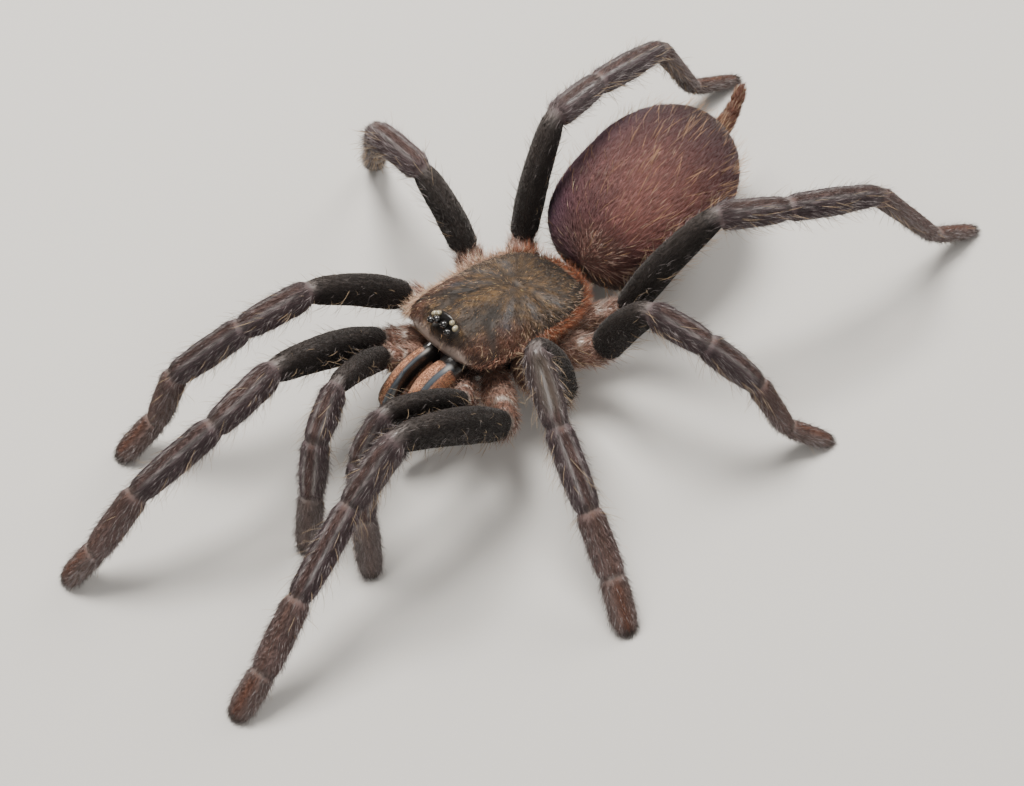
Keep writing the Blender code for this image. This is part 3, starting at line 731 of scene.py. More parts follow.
@dataclass(frozen=True)
class PeltFinish:
    """Hair, or skin below hair, in the colours of the markings.

    Attributes:
        name: The material's name.
        rough: Roughness where hair grows.
        bald_rough: Roughness of bare skin.
        mottle: How strongly the colour varies from place to place.
        size: How fine that variation is, in features to a metre.
        streak: How strongly streaks show along the lie.
        bump: Height of the streaks, in metres.
        sheen: Strength of the soft edge sheen.
        coat: Clear coat of bare skin.
        specular: Level of the plain reflection.
    """

    name: str
    rough: float
    bald_rough: float
    mottle: float
    size: float
    streak: float
    bump: float
    sheen: float
    coat: float = 0.0
    specular: float = 0.5

    def make(self, grain: bpy.types.NodeTree) -> None:
        """Makes the material, with the group that mottles and streaks it."""
        _, kit, shader = new_material(self.name)
        colour = kit.add("ShaderNodeAttribute", attribute_name="pelt").outputs["Color"]
        marks = {"Mottle": self.mottle, "Size": self.size, "Streak": self.streak, "Color": colour}
        group = kit.add("ShaderNodeGroup", marks, node_tree=grain).outputs
        bare = kit.add("ShaderNodeAttribute", attribute_name="bald").outputs["Fac"]
        rough = kit.math("ADD", kit.math("MULTIPLY", bare, self.bald_rough - self.rough), self.rough)
        kit.feed(shader, {"Base Color": group["Color"], "Roughness": rough})
        kit.feed(shader, {"Sheen Weight": self.sheen, "Sheen Roughness": 0.45})
        kit.feed(shader, {"Coat Roughness": 0.18, "Specular IOR Level": self.specular})
        if self.coat:
            kit.feed(shader, {"Coat Weight": kit.math("MULTIPLY", bare, self.coat)})
        if self.bump:
            raised = kit.add("ShaderNodeBump", {"Distance": self.bump, "Height": group["Height"]})
            kit.feed(shader, {"Normal": raised.outputs["Normal"]})


@dataclass(frozen=True)
class HornFinish:
    """Smooth hard parts: eyes and fangs.

    Attributes:
        name: The material's name.
        colour: Linear colour.
        rough: Roughness.
        coat: Clear coat.
        tone: How strongly the colour varies.
        size: How fine that variation is, in features to a metre.
    """

    name: str
    colour: tuple[float, float, float]
    rough: float
    coat: float
    tone: float = 0.25
    size: float = 2600.0

    def make(self, _grain: bpy.types.NodeTree) -> None:
        """Makes the material, with a soft variation in its colour and gloss."""
        _, kit, shader = new_material(self.name)
        place = kit.add("ShaderNodeTexCoord").outputs["Object"]
        noise = kit.add("ShaderNodeTexNoise", {"Scale": self.size, "Vector": place}).outputs["Fac"]
        level = kit.math("ADD", kit.swing(noise, self.tone), 1.0)
        kit.feed(shader, {"Coat Weight": self.coat, "Coat Roughness": 0.04})
        kit.feed(shader, {"Base Color": kit.scaled(self.colour, level)})
        kit.feed(shader, {"Roughness": kit.math("MULTIPLY", level, self.rough)})


class Finish(Enum):
    """Every finish of the model, with its values in their order."""

    SKIN = PeltFinish("skin", 0.70, 0.20, 0.5, 420, 0.7, 0.00003, 0.05, 0.8, 0.4)
    PLATE = PeltFinish("carapace_plate", 0.56, 0.30, 1.1, 420, 0.6, 0.00003, 0.0, 0.4, 0.35)
    JAW = PeltFinish("jaw_shell", 0.55, 0.20, 0.3, 500, 0.3, 0.00001, 0.10, 0.8)
    PILE = PeltFinish("leg_hair", 0.48, 0.30, 0.5, 420, 0.0, 0.0, 0.08, 0.0, 0.35)
    VELVET = PeltFinish("abdomen_hair", 0.55, 0.30, 0.35, 300, 0.0, 0.0, 0.08, 0.0, 0.25)
    BRISTLE = PeltFinish("bristles", 0.42, 0.30, 0.3, 420, 0.0, 0.0, 0.2)
    DARK_EYE = HornFinish("dark_eye", (0.008, 0.007, 0.007), 0.06, 1.0)
    PALE_EYE = HornFinish("pale_eye", (0.30, 0.26, 0.17), 0.08, 1.0, 0.9)
    FANG = HornFinish("fang_horn", (0.020, 0.012, 0.010), 0.16, 0.6)

    @property
    def material(self) -> bpy.types.Material:
        """The material, once it is made."""
        return bpy.data.materials[self.value.name]


# --- Limbs -----------------------------------------------------------------------------------------


class Segment(Enum):
    """The segments of a leg, from the body outwards. A feeler has no metatarsus.

    Each value gives places from 0 at the segment's root to 1, and the share of its full half-size there.
    """

    COXA = ((0.0, 0.72), (0.15, 0.92), (0.45, 1.0), (0.66, 0.92), (0.74, 0.84), (0.86, 0.92), (1.0, 0.80))
    FEMUR = ((0.0, 0.72), (0.10, 0.90), (0.32, 1.0), (0.62, 0.97), (0.86, 0.91), (1.0, 0.80))
    PATELLA = ((0.0, 0.80), (0.22, 0.96), (0.60, 1.0), (0.88, 0.93), (1.0, 0.84))
    TIBIA = ((0.0, 0.84), (0.16, 0.95), (0.55, 1.0), (0.88, 0.93), (1.0, 0.82))
    METATARSUS = ((0.0, 0.82), (0.14, 0.94), (0.60, 1.0), (0.90, 0.98), (1.0, 0.90))
    TARSUS = ((0.0, 0.90), (0.30, 1.02), (0.70, 1.0), (0.90, 0.86), (0.97, 0.66), (1.0, 0.40))


@dataclass(frozen=True)
class LimbBuild:
    """Lengths and (half-width, half-depth) of one pair of limbs' segments, in carapace lengths.

    The half-sizes start with the coxa, and the lengths with the femur.
    """

    coxa_inner: tuple[float, float, float]
    lengths: tuple[float, ...]
    halves: tuple[tuple[float, float], ...]


@dataclass(frozen=True)
class LimbPose:
    """Where a hip sits, which way the limb leaves, and how it bends, in degrees."""

    hip: tuple[float, float, float]
    yaw: float
    pitches: tuple[float, ...]
    turn_at_tibia: float
    turn_at_foot: float
    turn_at_knee: float = 0.0


BUILDS = {
    "leg1": LimbBuild(
        (0.165, 0.215, -0.215),
        (0.91, 0.43, 0.546, 0.44, 0.294),
        ((0.088, 0.105), (0.090, 0.130), (0.090, 0.102), (0.086, 0.095), (0.090, 0.082), (0.086, 0.066)),
    ),
    "leg2": LimbBuild(
        (0.200, 0.070, -0.215),
        (0.73, 0.405, 0.481, 0.383, 0.334),
        ((0.092, 0.108), (0.088, 0.115), (0.090, 0.097), (0.088, 0.093), (0.090, 0.080), (0.084, 0.064)),
    ),
    "leg3": LimbBuild(
        (0.200, -0.095, -0.215),
        (0.555, 0.343, 0.40, 0.409, 0.312),
        ((0.098, 0.108), (0.088, 0.112), (0.090, 0.095), (0.090, 0.092), (0.074, 0.070), (0.066, 0.056)),
    ),
    "leg4": LimbBuild(
        (0.150, -0.240, -0.215),
        (0.835, 0.409, 0.648, 0.759, 0.399),
        ((0.098, 0.112), (0.088, 0.116), (0.088, 0.093), (0.088, 0.091), (0.068, 0.066), (0.056, 0.052)),
    ),
    "feeler": LimbBuild(
        (0.110, 0.370, -0.250),
        (0.66, 0.31, 0.37, 0.37),
        ((0.076, 0.085), (0.070, 0.092), (0.084, 0.090), (0.088, 0.090), (0.080, 0.064)),
    ),
}

POSES = {
    "leg1_right": LimbPose((0.403, 0.532, -0.200), 94, (33, -9, -26, -47), -14, -18),
    "leg2_right": LimbPose((0.490, 0.271, -0.073), 79, (37, -6, -32, -67), -13, 6),
    "leg3_right": LimbPose((0.542, -0.228, -0.049), 8, (56, 16, -61, -57), -40, -8),
    "leg4_right": LimbPose((0.438, -0.571, -0.083), -79, (70, -11, -18, -59), -3, -14),
    "leg1_left": LimbPose((0.541, 0.469, -0.191), 92, (38, -43, -28, -38), -16, 9),
    "leg2_left": LimbPose((0.577, 0.064, -0.203), 85, (70, -40, -41, -42), -6, 5, -64),
    "leg3_left": LimbPose((0.495, -0.312, -0.140), -22, (63, -16, -41, -60), -12, -19),
    "leg4_left": LimbPose((0.385, -0.585, -0.100), -64, (54, -10, -17, -52), -9, -9),
    "feeler_right": LimbPose((0.256, 0.642, -0.144), 113, (38, -32, -70), 5, 4),
    "feeler_left": LimbPose((0.317, 0.569, -0.109), 91, (37, -53, -65), -52, -8),
}

# Legs whose hips carry much pale down, and the leg whose knee is rubbed bare.
DOWNY_LEGS = ("leg3", "leg4")
BARE_KNEE = "leg2_left"


@dataclass
class Limb:
    """One leg or feeler: its joints, its skin and its coat.

    Attributes:
        name: Such as leg1_left.
        frame: The trunk's frame.
        coat_depth: How far the skin lies inside the solid, in carapace lengths.
        femur_bow: How far a femur arches, as a share of its length.
        soft_bend: How far on each side of a joint its bend is rounded.
        foot_height: Height of the last point over the floor.
        columns: Points round the limb.
        rows_each: Rows along each segment.
    """

    name: str
    frame: TrunkFrame
    coat_depth: float = 0.013
    femur_bow: float = 0.045
    soft_bend: float = 0.055
    foot_height: float = 0.006
    columns: int = 28
    rows_each: int = 16

    def __post_init__(self) -> None:
        """Works out the joints, as the solids have them."""
        self.build = BUILDS[self.name.split("_")[0]]
        pose = POSES[self.name]
        side = LEFT if self.name.endswith("left") else RIGHT
        self.is_feeler = self.name.startswith("feeler")
        self.segments = [part for part in Segment if not (self.is_feeler and part is Segment.METATARSUS)]
        joints = [self.frame.point(*self.build.coxa_inner, side), self.frame.point(*pose.hip, side)]
        sideways = [unit(np.cross(self.frame.direction(0, 0, 1), joints[1] - joints[0]))]
        turns = [pose.yaw, pose.turn_at_knee, pose.turn_at_tibia, *[0.0] * len(pose.pitches)]
        turns[len(pose.pitches)] += pose.turn_at_foot
        for i, share in enumerate(self.build.lengths):
            length = share * CARAPACE
            if i < len(pose.pitches):
                pitch = math.radians(pose.pitches[i])
            else:
                pitch = math.asin((self.foot_height * CARAPACE - joints[-1][2]) / length)
            turn = math.radians(sum(turns[: i + 1]))
            flat = np.array([side * math.cos(turn), -math.sin(turn), 0.0])
            step = flat * math.cos(pitch) + np.array([0.0, 0.0, math.sin(pitch)])
            sideways.append(np.array([-flat[1], flat[0], 0.0]))
            joints.append(joints[-1] + step * length)
        self.joints = np.array(joints)
        self.sideways = np.array(sideways)

    def centre_line(self) -> tuple[np.ndarray, np.ndarray, np.ndarray, np.ndarray]:
        """The limb's axis, softened at its joints.

        Returns:
            For each row: how far along in segments, the place, the sideways and upward directions.
        """
        last = len(self.joints) - 1
        along = np.arange(last * self.rows_each + 1) / self.rows_each
        steps = np.diff(self.joints, axis=0)
        turned = unit(steps)
        sizes = np.linalg.norm(steps, axis=1)
        soft = self.soft_bend * CARAPACE
        rows = []
        for value in along:
            k = min(int(value), last - 1)
            t = value - k
            place = self.joints[k] + turned[k] * sizes[k] * t
            side = self.sideways[k]
            for joint, gap in ((k, t * sizes[k]), (k + 1, -(1 - t) * sizes[k])):
                if 0 < joint < last and abs(gap) < soft:
                    share = (gap + soft) / (2 * soft)
                    before = self.joints[joint] - turned[joint - 1] * soft
                    after = self.joints[joint] + turned[joint] * soft
                    bend = self.joints[joint] * 2 * share * (1 - share)
                    place = before * (1 - share) ** 2 + bend + after * share**2
                    side = self.sideways[joint - 1] * (1 - share) + self.sideways[joint] * share
            if self.segments[k] is Segment.FEMUR:
                arch = np.cross(turned[k], self.sideways[k])
                place = place + arch * (self.femur_bow * sizes[k] * math.sin(math.pi * t))
            rows.append((place, side))
        places, across = np.array(rows).transpose(1, 0, 2)
        ahead = unit(np.gradient(places, axis=0))
        across = square_to(across, ahead)
        return along - 1, places, across, np.cross(ahead, across)

    def half_sizes(self, along: np.ndarray) -> np.ndarray:
        """Half-width and half-depth of the skin at each row, in metres."""
        table = np.array(self.build.halves)
        halves = np.empty((len(along), 2))
        for n, value in enumerate(along + 1):
            k = min(int(value), len(table) - 1)
            t = value - k
            here = table[k]
            if k > 0 and t < 0.5:
                here = here * (0.5 + t) + table[k - 1] * (0.5 - t)
            elif k < len(table) - 1 and t >= 0.5:
                here = here * (1.5 - t) + table[k + 1] * (t - 0.5)
            halves[n] = here * np.interp(t, *zip(*self.segments[k].value))
        pinch = 1 - 0.10 * bump(along - np.round(along), 0, 0.035) * (along < along[-1] - 0.5)
        depth = self.coat_depth * np.clip(halves[:, 0] / 0.06, 0.3, 1)
        return (halves.T * pinch - depth) * CARAPACE

    def markings(self) -> tuple[np.ndarray, np.ndarray]:
        """Colour and bareness of each grid point of the limb."""
        along, back, tip = self.along, self.back, self.tip
        angle = np.degrees(np.arctan2(np.cos(self.turn), np.sin(self.turn)))
        colours = [Pelt[part.name] for part in self.segments]
        if self.is_feeler:
            colours[-1] = Pelt.FEELER
        tint = colours[0].over((len(along), self.columns))
        for i, colour in enumerate(colours[1:]):
            tint = paint(tint, (colour, ramp(along, i - 0.07, i + 0.05)))
        trochanter = ramp(along, -0.36, -0.26) * fall(along, -0.05, 0.03)
        # Painted sheen: the top of the femur near the knee is lightened.
        sheen = 0.5 * bump(along, 0.85, 0.2) * ramp(back, 0.2, 0.9)
        tint = paint(tint, (Pelt.TROCHANTER, trochanter), (Pelt.FEMUR_SHEEN, sheen))
        # Painted shade: each limb is darkened on its underside, from the femur outwards.
        tint = mix(tint, tint * 0.66, ramp(-back, 0.1, 0.8) * ramp(along, 0.2, 1.0))
        foot = ramp(along, tip - 1.0, tip - 0.8)
        shin = ramp(along, 1.06, 1.20) * (1 - foot)
        stripes = bump(np.abs(angle), 27, 7)
        bare = ramp(along, 1.12, 1.22) * fall(along, 2.80, 2.95) * (1 - 0.9 * bump(along, 2.0, 0.09))
        shaft = 0.4 * ramp(along, 0.15, 0.35) * fall(along, 0.80, 0.92)
        knee = bump(angle, -10, 50) * ramp(along, 1.02, 1.12) * fall(along, 1.72, 1.92)
        knee = knee * (0.95 if self.name == BARE_KNEE else 0.0)
        joints = sum(bump(along, joint, 0.03) for joint in range(1, tip)) * ramp(back, 0.45, 0.9)
        root = 1.1 * bump(along, -0.30, 0.018) + 0.8 * bump(along, -0.52, 0.014)
        root = root + 1.1 * bump(along, -0.02, 0.022)
        root = root * ramp(np.sin(self.turn + 0.6), 0.1, 0.5)
        tint = paint(
            tint,
            (Pelt.SHIN_STRIPE, 0.65 * shin * bump(angle, 0, 18)),
            (Pelt.TARSUS_STRIPE, (0.2 if self.is_feeler else 0.9) * foot * bump(angle, 0, 26)),
            # Painted highlight: the bare stripes on patella and tibia are tinted pale where their gloss would
            # shine.
            (Pelt.BALD_STRIPE_HIGHLIGHT, 0.7 * stripes * bare),
            # Painted sheen: two glossy stripes along the femur's shaft are lightened.
            (Pelt.FEMUR_SHEEN, 0.6 * stripes * shaft),
            (Pelt.KNEE, 0.9 * knee),
            (Pelt.MEMBRANE_AND_HIGHLIGHT, (0.12 * joints + 0.85 * root).clip(0, 1)),
        )
        bald = stripes * (bare + shaft) + knee + 0.5 * joints + 0.9 * root + 0.35 * trochanter
        return tint, bald.clip(0, 1)

    def skin(self) -> Surface:
        """The limb's skin, from inside the trunk to its tip."""
        along, places, across, upward = self.centre_line()
        points = tube(places, across, upward, *self.half_sizes(along), self.columns)
        points[..., 2] = points[..., 2].clip(SKIN_OVER_FLOOR)
        self.along = along[:, None]
        self.turn = round_turn(self.columns)[None]
        self.back = np.sin(self.turn)
        self.tip = len(self.segments) - 1
        self.surface = Surface(points, *self.markings())
        return self.surface

    def add_coat(self, seed: int) -> None:
        """Grows lying pile, upright fuzz, long bristles and the brush below the foot."""
        coat = Coat(f"coat_{self.name}", self.surface, seed)
        along, back, tip = self.along, self.back, self.tip
        side = np.abs(np.cos(self.turn))
        hairy = 1 - self.surface.bald
        shown = ramp(along, -0.95, -0.85)
        near_foot = ramp(along, tip - 2.0, tip - 1.2)
        femur = ramp(along, -0.02, 0.1) * fall(along, 0.9, 1.02)
        shin = ramp(along, 0.95, 1.1)
        size = 1 - 0.40 * near_foot - 0.25 * femur
        coat.grow(Hair.FEMUR_VELVET, hairy * femur, reach=size)
        coat.grow(Hair.SHIN_PILE, hairy * shin, reach=size, lift=1 + 0.35 * near_foot)
        hip = Hair.HIP_REAR if self.name.startswith(DOWNY_LEGS) else Hair.HIP_FRONT
        coat.grow(hip, hairy * fall(along, -0.02, 0.06) * shown)
        edge = (0.03 + 0.97 * side**4) * (0.08 * femur + shin * (0.45 + 0.55 * near_foot))
        coat.grow(Hair.FUZZ, hairy * edge, reach=1 - 0.2 * near_foot)
        where = (ramp(-back, -0.35, 0.35) + 0.35 * side) * (0.55 + 0.45 * shin)
        coat.grow(Hair.LEG_BRISTLE, shown * where * (1 - 0.9 * near_foot), reach=1 - 0.35 * near_foot)
        sole = ramp(-back, 0.35, 0.75) * ramp(along, tip - 1.6, tip - 1.2)
        coat.grow(Hair.SOLE_BRUSH, sole, tint=Pelt.SCOPULA.rgb)
        coat.grow(Hair.TOE_TUFT, ramp(along, tip - 0.14, tip - 0.05), tint=Pelt.SCOPULA.rgb)
        coat.build(Finish.PILE, "shin")


# --- Trunk -----------------------------------------------------------------------------------------


@dataclass
class Carapace:
    """The domed plate over the front half of the body, with its fringe and its eye mound.

    Attributes:
        frame: The trunk's frame.
        front: Its front end, in carapace lengths.
        rear: Its rear end.
        half_width: At its widest, bare of hair.
        left_share: The left half's width, which is folded under a little, as a share of the right's.
        height: Of the caput over the rim.
        rim: Height of the rim.
        fovea: How far forward the dimple lies.
        widest: Where it is widest, from -1 at the rear to 1 at the front.
        grooves: Each groove's angle from straight ahead, its width, and how far it reaches.
        rows: Rows from rear to front.
        columns: Columns over the top. A quarter as many pass below.
    """

    frame: TrunkFrame
    front: float = 0.475
    rear: float = -0.49
    half_width: float = 0.362
    left_share: float = 0.88
    height: float = 0.172
    rim: float = 0.022
    fovea: float = -0.10
    widest: float = -0.10
    grooves: tuple = ((25, 0.034, 0.56), (56, 0.026, 0.34), (100, 0.024, 0.28), (142, 0.028, 0.30))
    rows: int = 96
    columns: int = 96

    def reach(self, forward: np.ndarray) -> np.ndarray:
        """How far along a place lies, from -1 at the rear to 1 at the front."""
        return 2 * (forward - self.rear) / (self.front - self.rear) - 1

    def out_at(self, share: np.ndarray, forward: np.ndarray) -> np.ndarray:
        """How far out a place lies, from its share of the half-width: a broad oval, blunt in front."""
        reach = self.reach(forward)
        ahead = ((reach - self.widest) / (1 - self.widest)).clip(0, 1)
        behind = ((self.widest - reach) / (1 + self.widest)).clip(0, 1)
        front = (1 - 0.05 * ahead**2.2) * (1 - ahead**12) ** 0.5
        rear = (1 - 0.28 * behind**2.0) * (1 - behind**7) ** 0.5
        width = self.half_width * np.where(reach > self.widest, front, rear)
        return share * width * np.where(share > 0, self.left_share, 1.0)

    def polar(self, out: np.ndarray, forward: np.ndarray) -> tuple[np.ndarray, np.ndarray]:
        """Distance from the fovea and angle from straight ahead, in degrees."""
        ahead = forward - self.fovea
        return np.hypot(out, ahead), np.degrees(np.arctan2(np.abs(out), ahead))

    def in_groove(self, far: np.ndarray, angle: np.ndarray) -> np.ndarray:
        """How deep a place lies in the grooves that spread from the fovea, from 0 to 1."""
        total = np.zeros_like(far)
        for middle, width, reach in self.grooves:
            off = np.radians(np.abs(angle - middle + 45 * (far - 0.15))) * far
            total += bump(off, 0, width) * ramp(far, 0.03, 0.09) * fall(far, reach * 0.8, reach)
        return total.clip(0, 1)

    @staticmethod
    def cleft(far: np.ndarray, angle: np.ndarray, width: float) -> np.ndarray:
        """The sharp furrow behind the caput, which curves outward to the rim. Width is in degrees."""
        course = angle - 12 * ramp(far, 0.34, 0.56)
        return bump(course, 24, width) * ramp(far, 0.18, 0.30) * fall(far, 0.58, 0.68)

    def height_at(self, share: np.ndarray, forward: np.ndarray) -> np.ndarray:
        """Height of the plate's top.

        Args:
            share: Sideways, from -1 at one rim to 1 at the other.
            forward: Along the plate.

        Returns:
            Height in carapace lengths.
        """
        reach = self.reach(forward)
        front = ((1.0 - reach) / 0.16).clip(0, 1) ** 0.55
        back = ((1.0 + reach) / 0.95).clip(0, 1) ** 0.75
        ridge = self.height * front * back * (0.80 + 0.20 * bump(reach, 0.50, 0.42))
        shoulder = (1 - np.abs(share) ** 2.3).clip(0) ** 0.80
        out = self.out_at(share, forward)
        pit = 0.026 * bump(out, 0, 0.050) * bump(forward, self.fovea, 0.024)
        far, angle = self.polar(out, forward)
        furrow = 0.011 * self.in_groove(far, angle) + 0.016 * self.cleft(far, angle, 3.5)
        mound = 0.064 * np.exp(-((out / 0.088) ** 4) - ((forward - 0.440) / 0.050) ** 4)
        return self.rim + (ridge - pit - furrow + mound) * shoulder

    def add(self) -> None:
        """Makes the plate and its coat."""
        turn = np.pi * (0.5 + np.arange(self.rows)) / self.rows
        along = self.rear + (self.front - self.rear) * (1 - np.cos(turn)) / 2
        top = np.cos(np.pi * np.arange(self.columns) / (self.columns - 1))
        below = np.linspace(-0.94, 0.94, self.columns // 4)
        share, forward = np.meshgrid(np.concatenate([top, below]), along)
        out = self.out_at(share, forward)
        above = np.broadcast_to(np.arange(share.shape[1]) < self.columns, share.shape)
        up = np.where(above, self.height_at(share, forward), 0.0)
        far, angle = self.polar(out, forward)
        groove = self.in_groove(far, angle)
        cleft = self.cleft(far, angle, 6.0)
        side = ramp(np.abs(share), 0.45, 0.8) * ramp(forward, -0.05, 0.2)
        rays = 0.5 + 0.5 * np.sin(np.radians(angle) * 46 + 3 * np.sin(far * 40))
        bronze = rays * ramp(far, 0.03, 0.08) * fall(far, 0.16, 0.36)
        mottle = np.sin(forward * 38 + 2.2 * np.sin(out * 27 + 1.0))
        mottle = mottle * np.sin(out * 44 + 1.9 * np.sin(forward * 31))
        ridge = bump(angle, 38, 6) * ramp(far, 0.08, 0.16) * fall(far, 0.34, 0.42)
        others = (bump(angle, 74, 9) + bump(angle, 118, 10)) * ramp(far, 0.07, 0.13)
        ridge = ridge + others * fall(far, 0.24, 0.32)
        lip = ramp(forward, self.front - 0.050, self.front - 0.020) * fall(up, 0.05, 0.10)
        eyes = np.exp(-((out / 0.100) ** 4) - ((forward - 0.450) / 0.050) ** 4) * ramp(up, 0.10, 0.15)
        tint = paint(Pelt.OLIVE.over(out.shape), (Pelt.CAPUT_SIDE, side), (Pelt.BRONZE, 0.5 * bronze))
        tint = mix(tint, tint * 0.45, 0.9 * ramp(mottle, 0.0, 0.9))
        tint = paint(tint, (Pelt.BRONZE, 0.45 * ramp(-mottle, 0.2, 0.9) * (1 - side)))
        tint = mix(tint, tint * 0.45, 0.8 * fall(forward, -0.42, -0.12))
        tint = paint(
            tint,
            # Painted sheen: the bare ridges between the grooves are tinted blue-grey.
            (Pelt.RIDGE_SHEEN, 0.6 * ridge),
            # Painted shade: the grooves and the furrow behind the caput are darkened.
            (Pelt.GROOVE_SHADE, (0.6 * groove + 0.9 * cleft).clip(0, 0.95)),
            (Pelt.CLYPEUS, 0.9 * lip),
        )
        tint = mix(tint, Pelt.JAW_DARK.rgb * 0.7, (eyes * 1.3).clip(0, 1))
        # Painted shade in the fovea's dimple.
        tint = paint(tint, (Pelt.GROOVE_SHADE, 0.9 * bump(out, 0, 0.05) * bump(forward, self.fovea, 0.02)))
        bald = (0.3 * ridge + 0.9 * lip + 1.2 * eyes).clip(0, 1)
        surface = Surface(self.frame.point(out, forward, up), tint, bald)
        dress(surface, "carapace_plate", Finish.PLATE, "carapace", "carapace")
        hidden = np.maximum(groove, 1.3 * cleft)
        cover = above * (1 - 0.55 * ridge).clip(0, 1) * (1 - lip) * (1 - (eyes * 1.6).clip(0, 1))
        cover = cover * (1 - 0.7 * hidden)
        self.add_coat(surface, (share, out, forward, above), cover, eyes)

    def add_coat(self, surface: Surface, places: tuple, cover: np.ndarray, eyes: np.ndarray) -> None:
        """Grows the fine lying hairs of the plate and the fringe round its rim.

        Args:
            surface: The plate.
            places: Of each grid point: share of the width, way out, way forward, and whether it is on top.
            cover: Density of the lying hairs.
            eyes: Where the eye mound keeps hairs away.
        """
        share, out, forward, above = places
        coat = Coat("coat_carapace", surface, 77)
        outward = self.frame.point(out, forward, 0) - self.frame.point(0, self.fovea + 0.04, 0)
        coat.grow(Hair.PLATE_FINE, cover, outward)
        coat.grow(Hair.PLATE_DOWN, cover * ramp(np.abs(share), 0.55, 0.85), outward)
        left = ramp(share, -0.1, 0.1)
        rear = left * fall(forward, -0.02, 0.14) + (1 - left) * fall(forward, -0.38, -0.28)
        orange = np.maximum(rear, 0.3 * (1 - left) * fall(forward, -0.25, 0.15))
        tint = paint(Pelt.FRINGE_BUFF.over(out.shape), (Pelt.FRINGE_PINK, left), (Pelt.FRINGE_ORANGE, orange))
        edge = above * ramp(np.abs(share), 0.93, 0.98) * fall(forward, 0.38, 0.44)
        edge = np.maximum(edge, above * fall(forward, self.rear + 0.012, self.rear + 0.04))
        edge = edge * (1 - 0.6 * left * ramp(forward, 0.1, 0.2))
        short = 1 - 0.45 * left * ramp(forward, 0.05, 0.2)
        coat.grow(Hair.PLATE_FRINGE, edge, outward, short, tint=tint)
        coat.grow(Hair.PLATE_STRAY, above * (1 - eyes) * ramp(np.abs(share), 0.3, 0.8), outward)
        coat.build(Finish.PILE, "carapace")


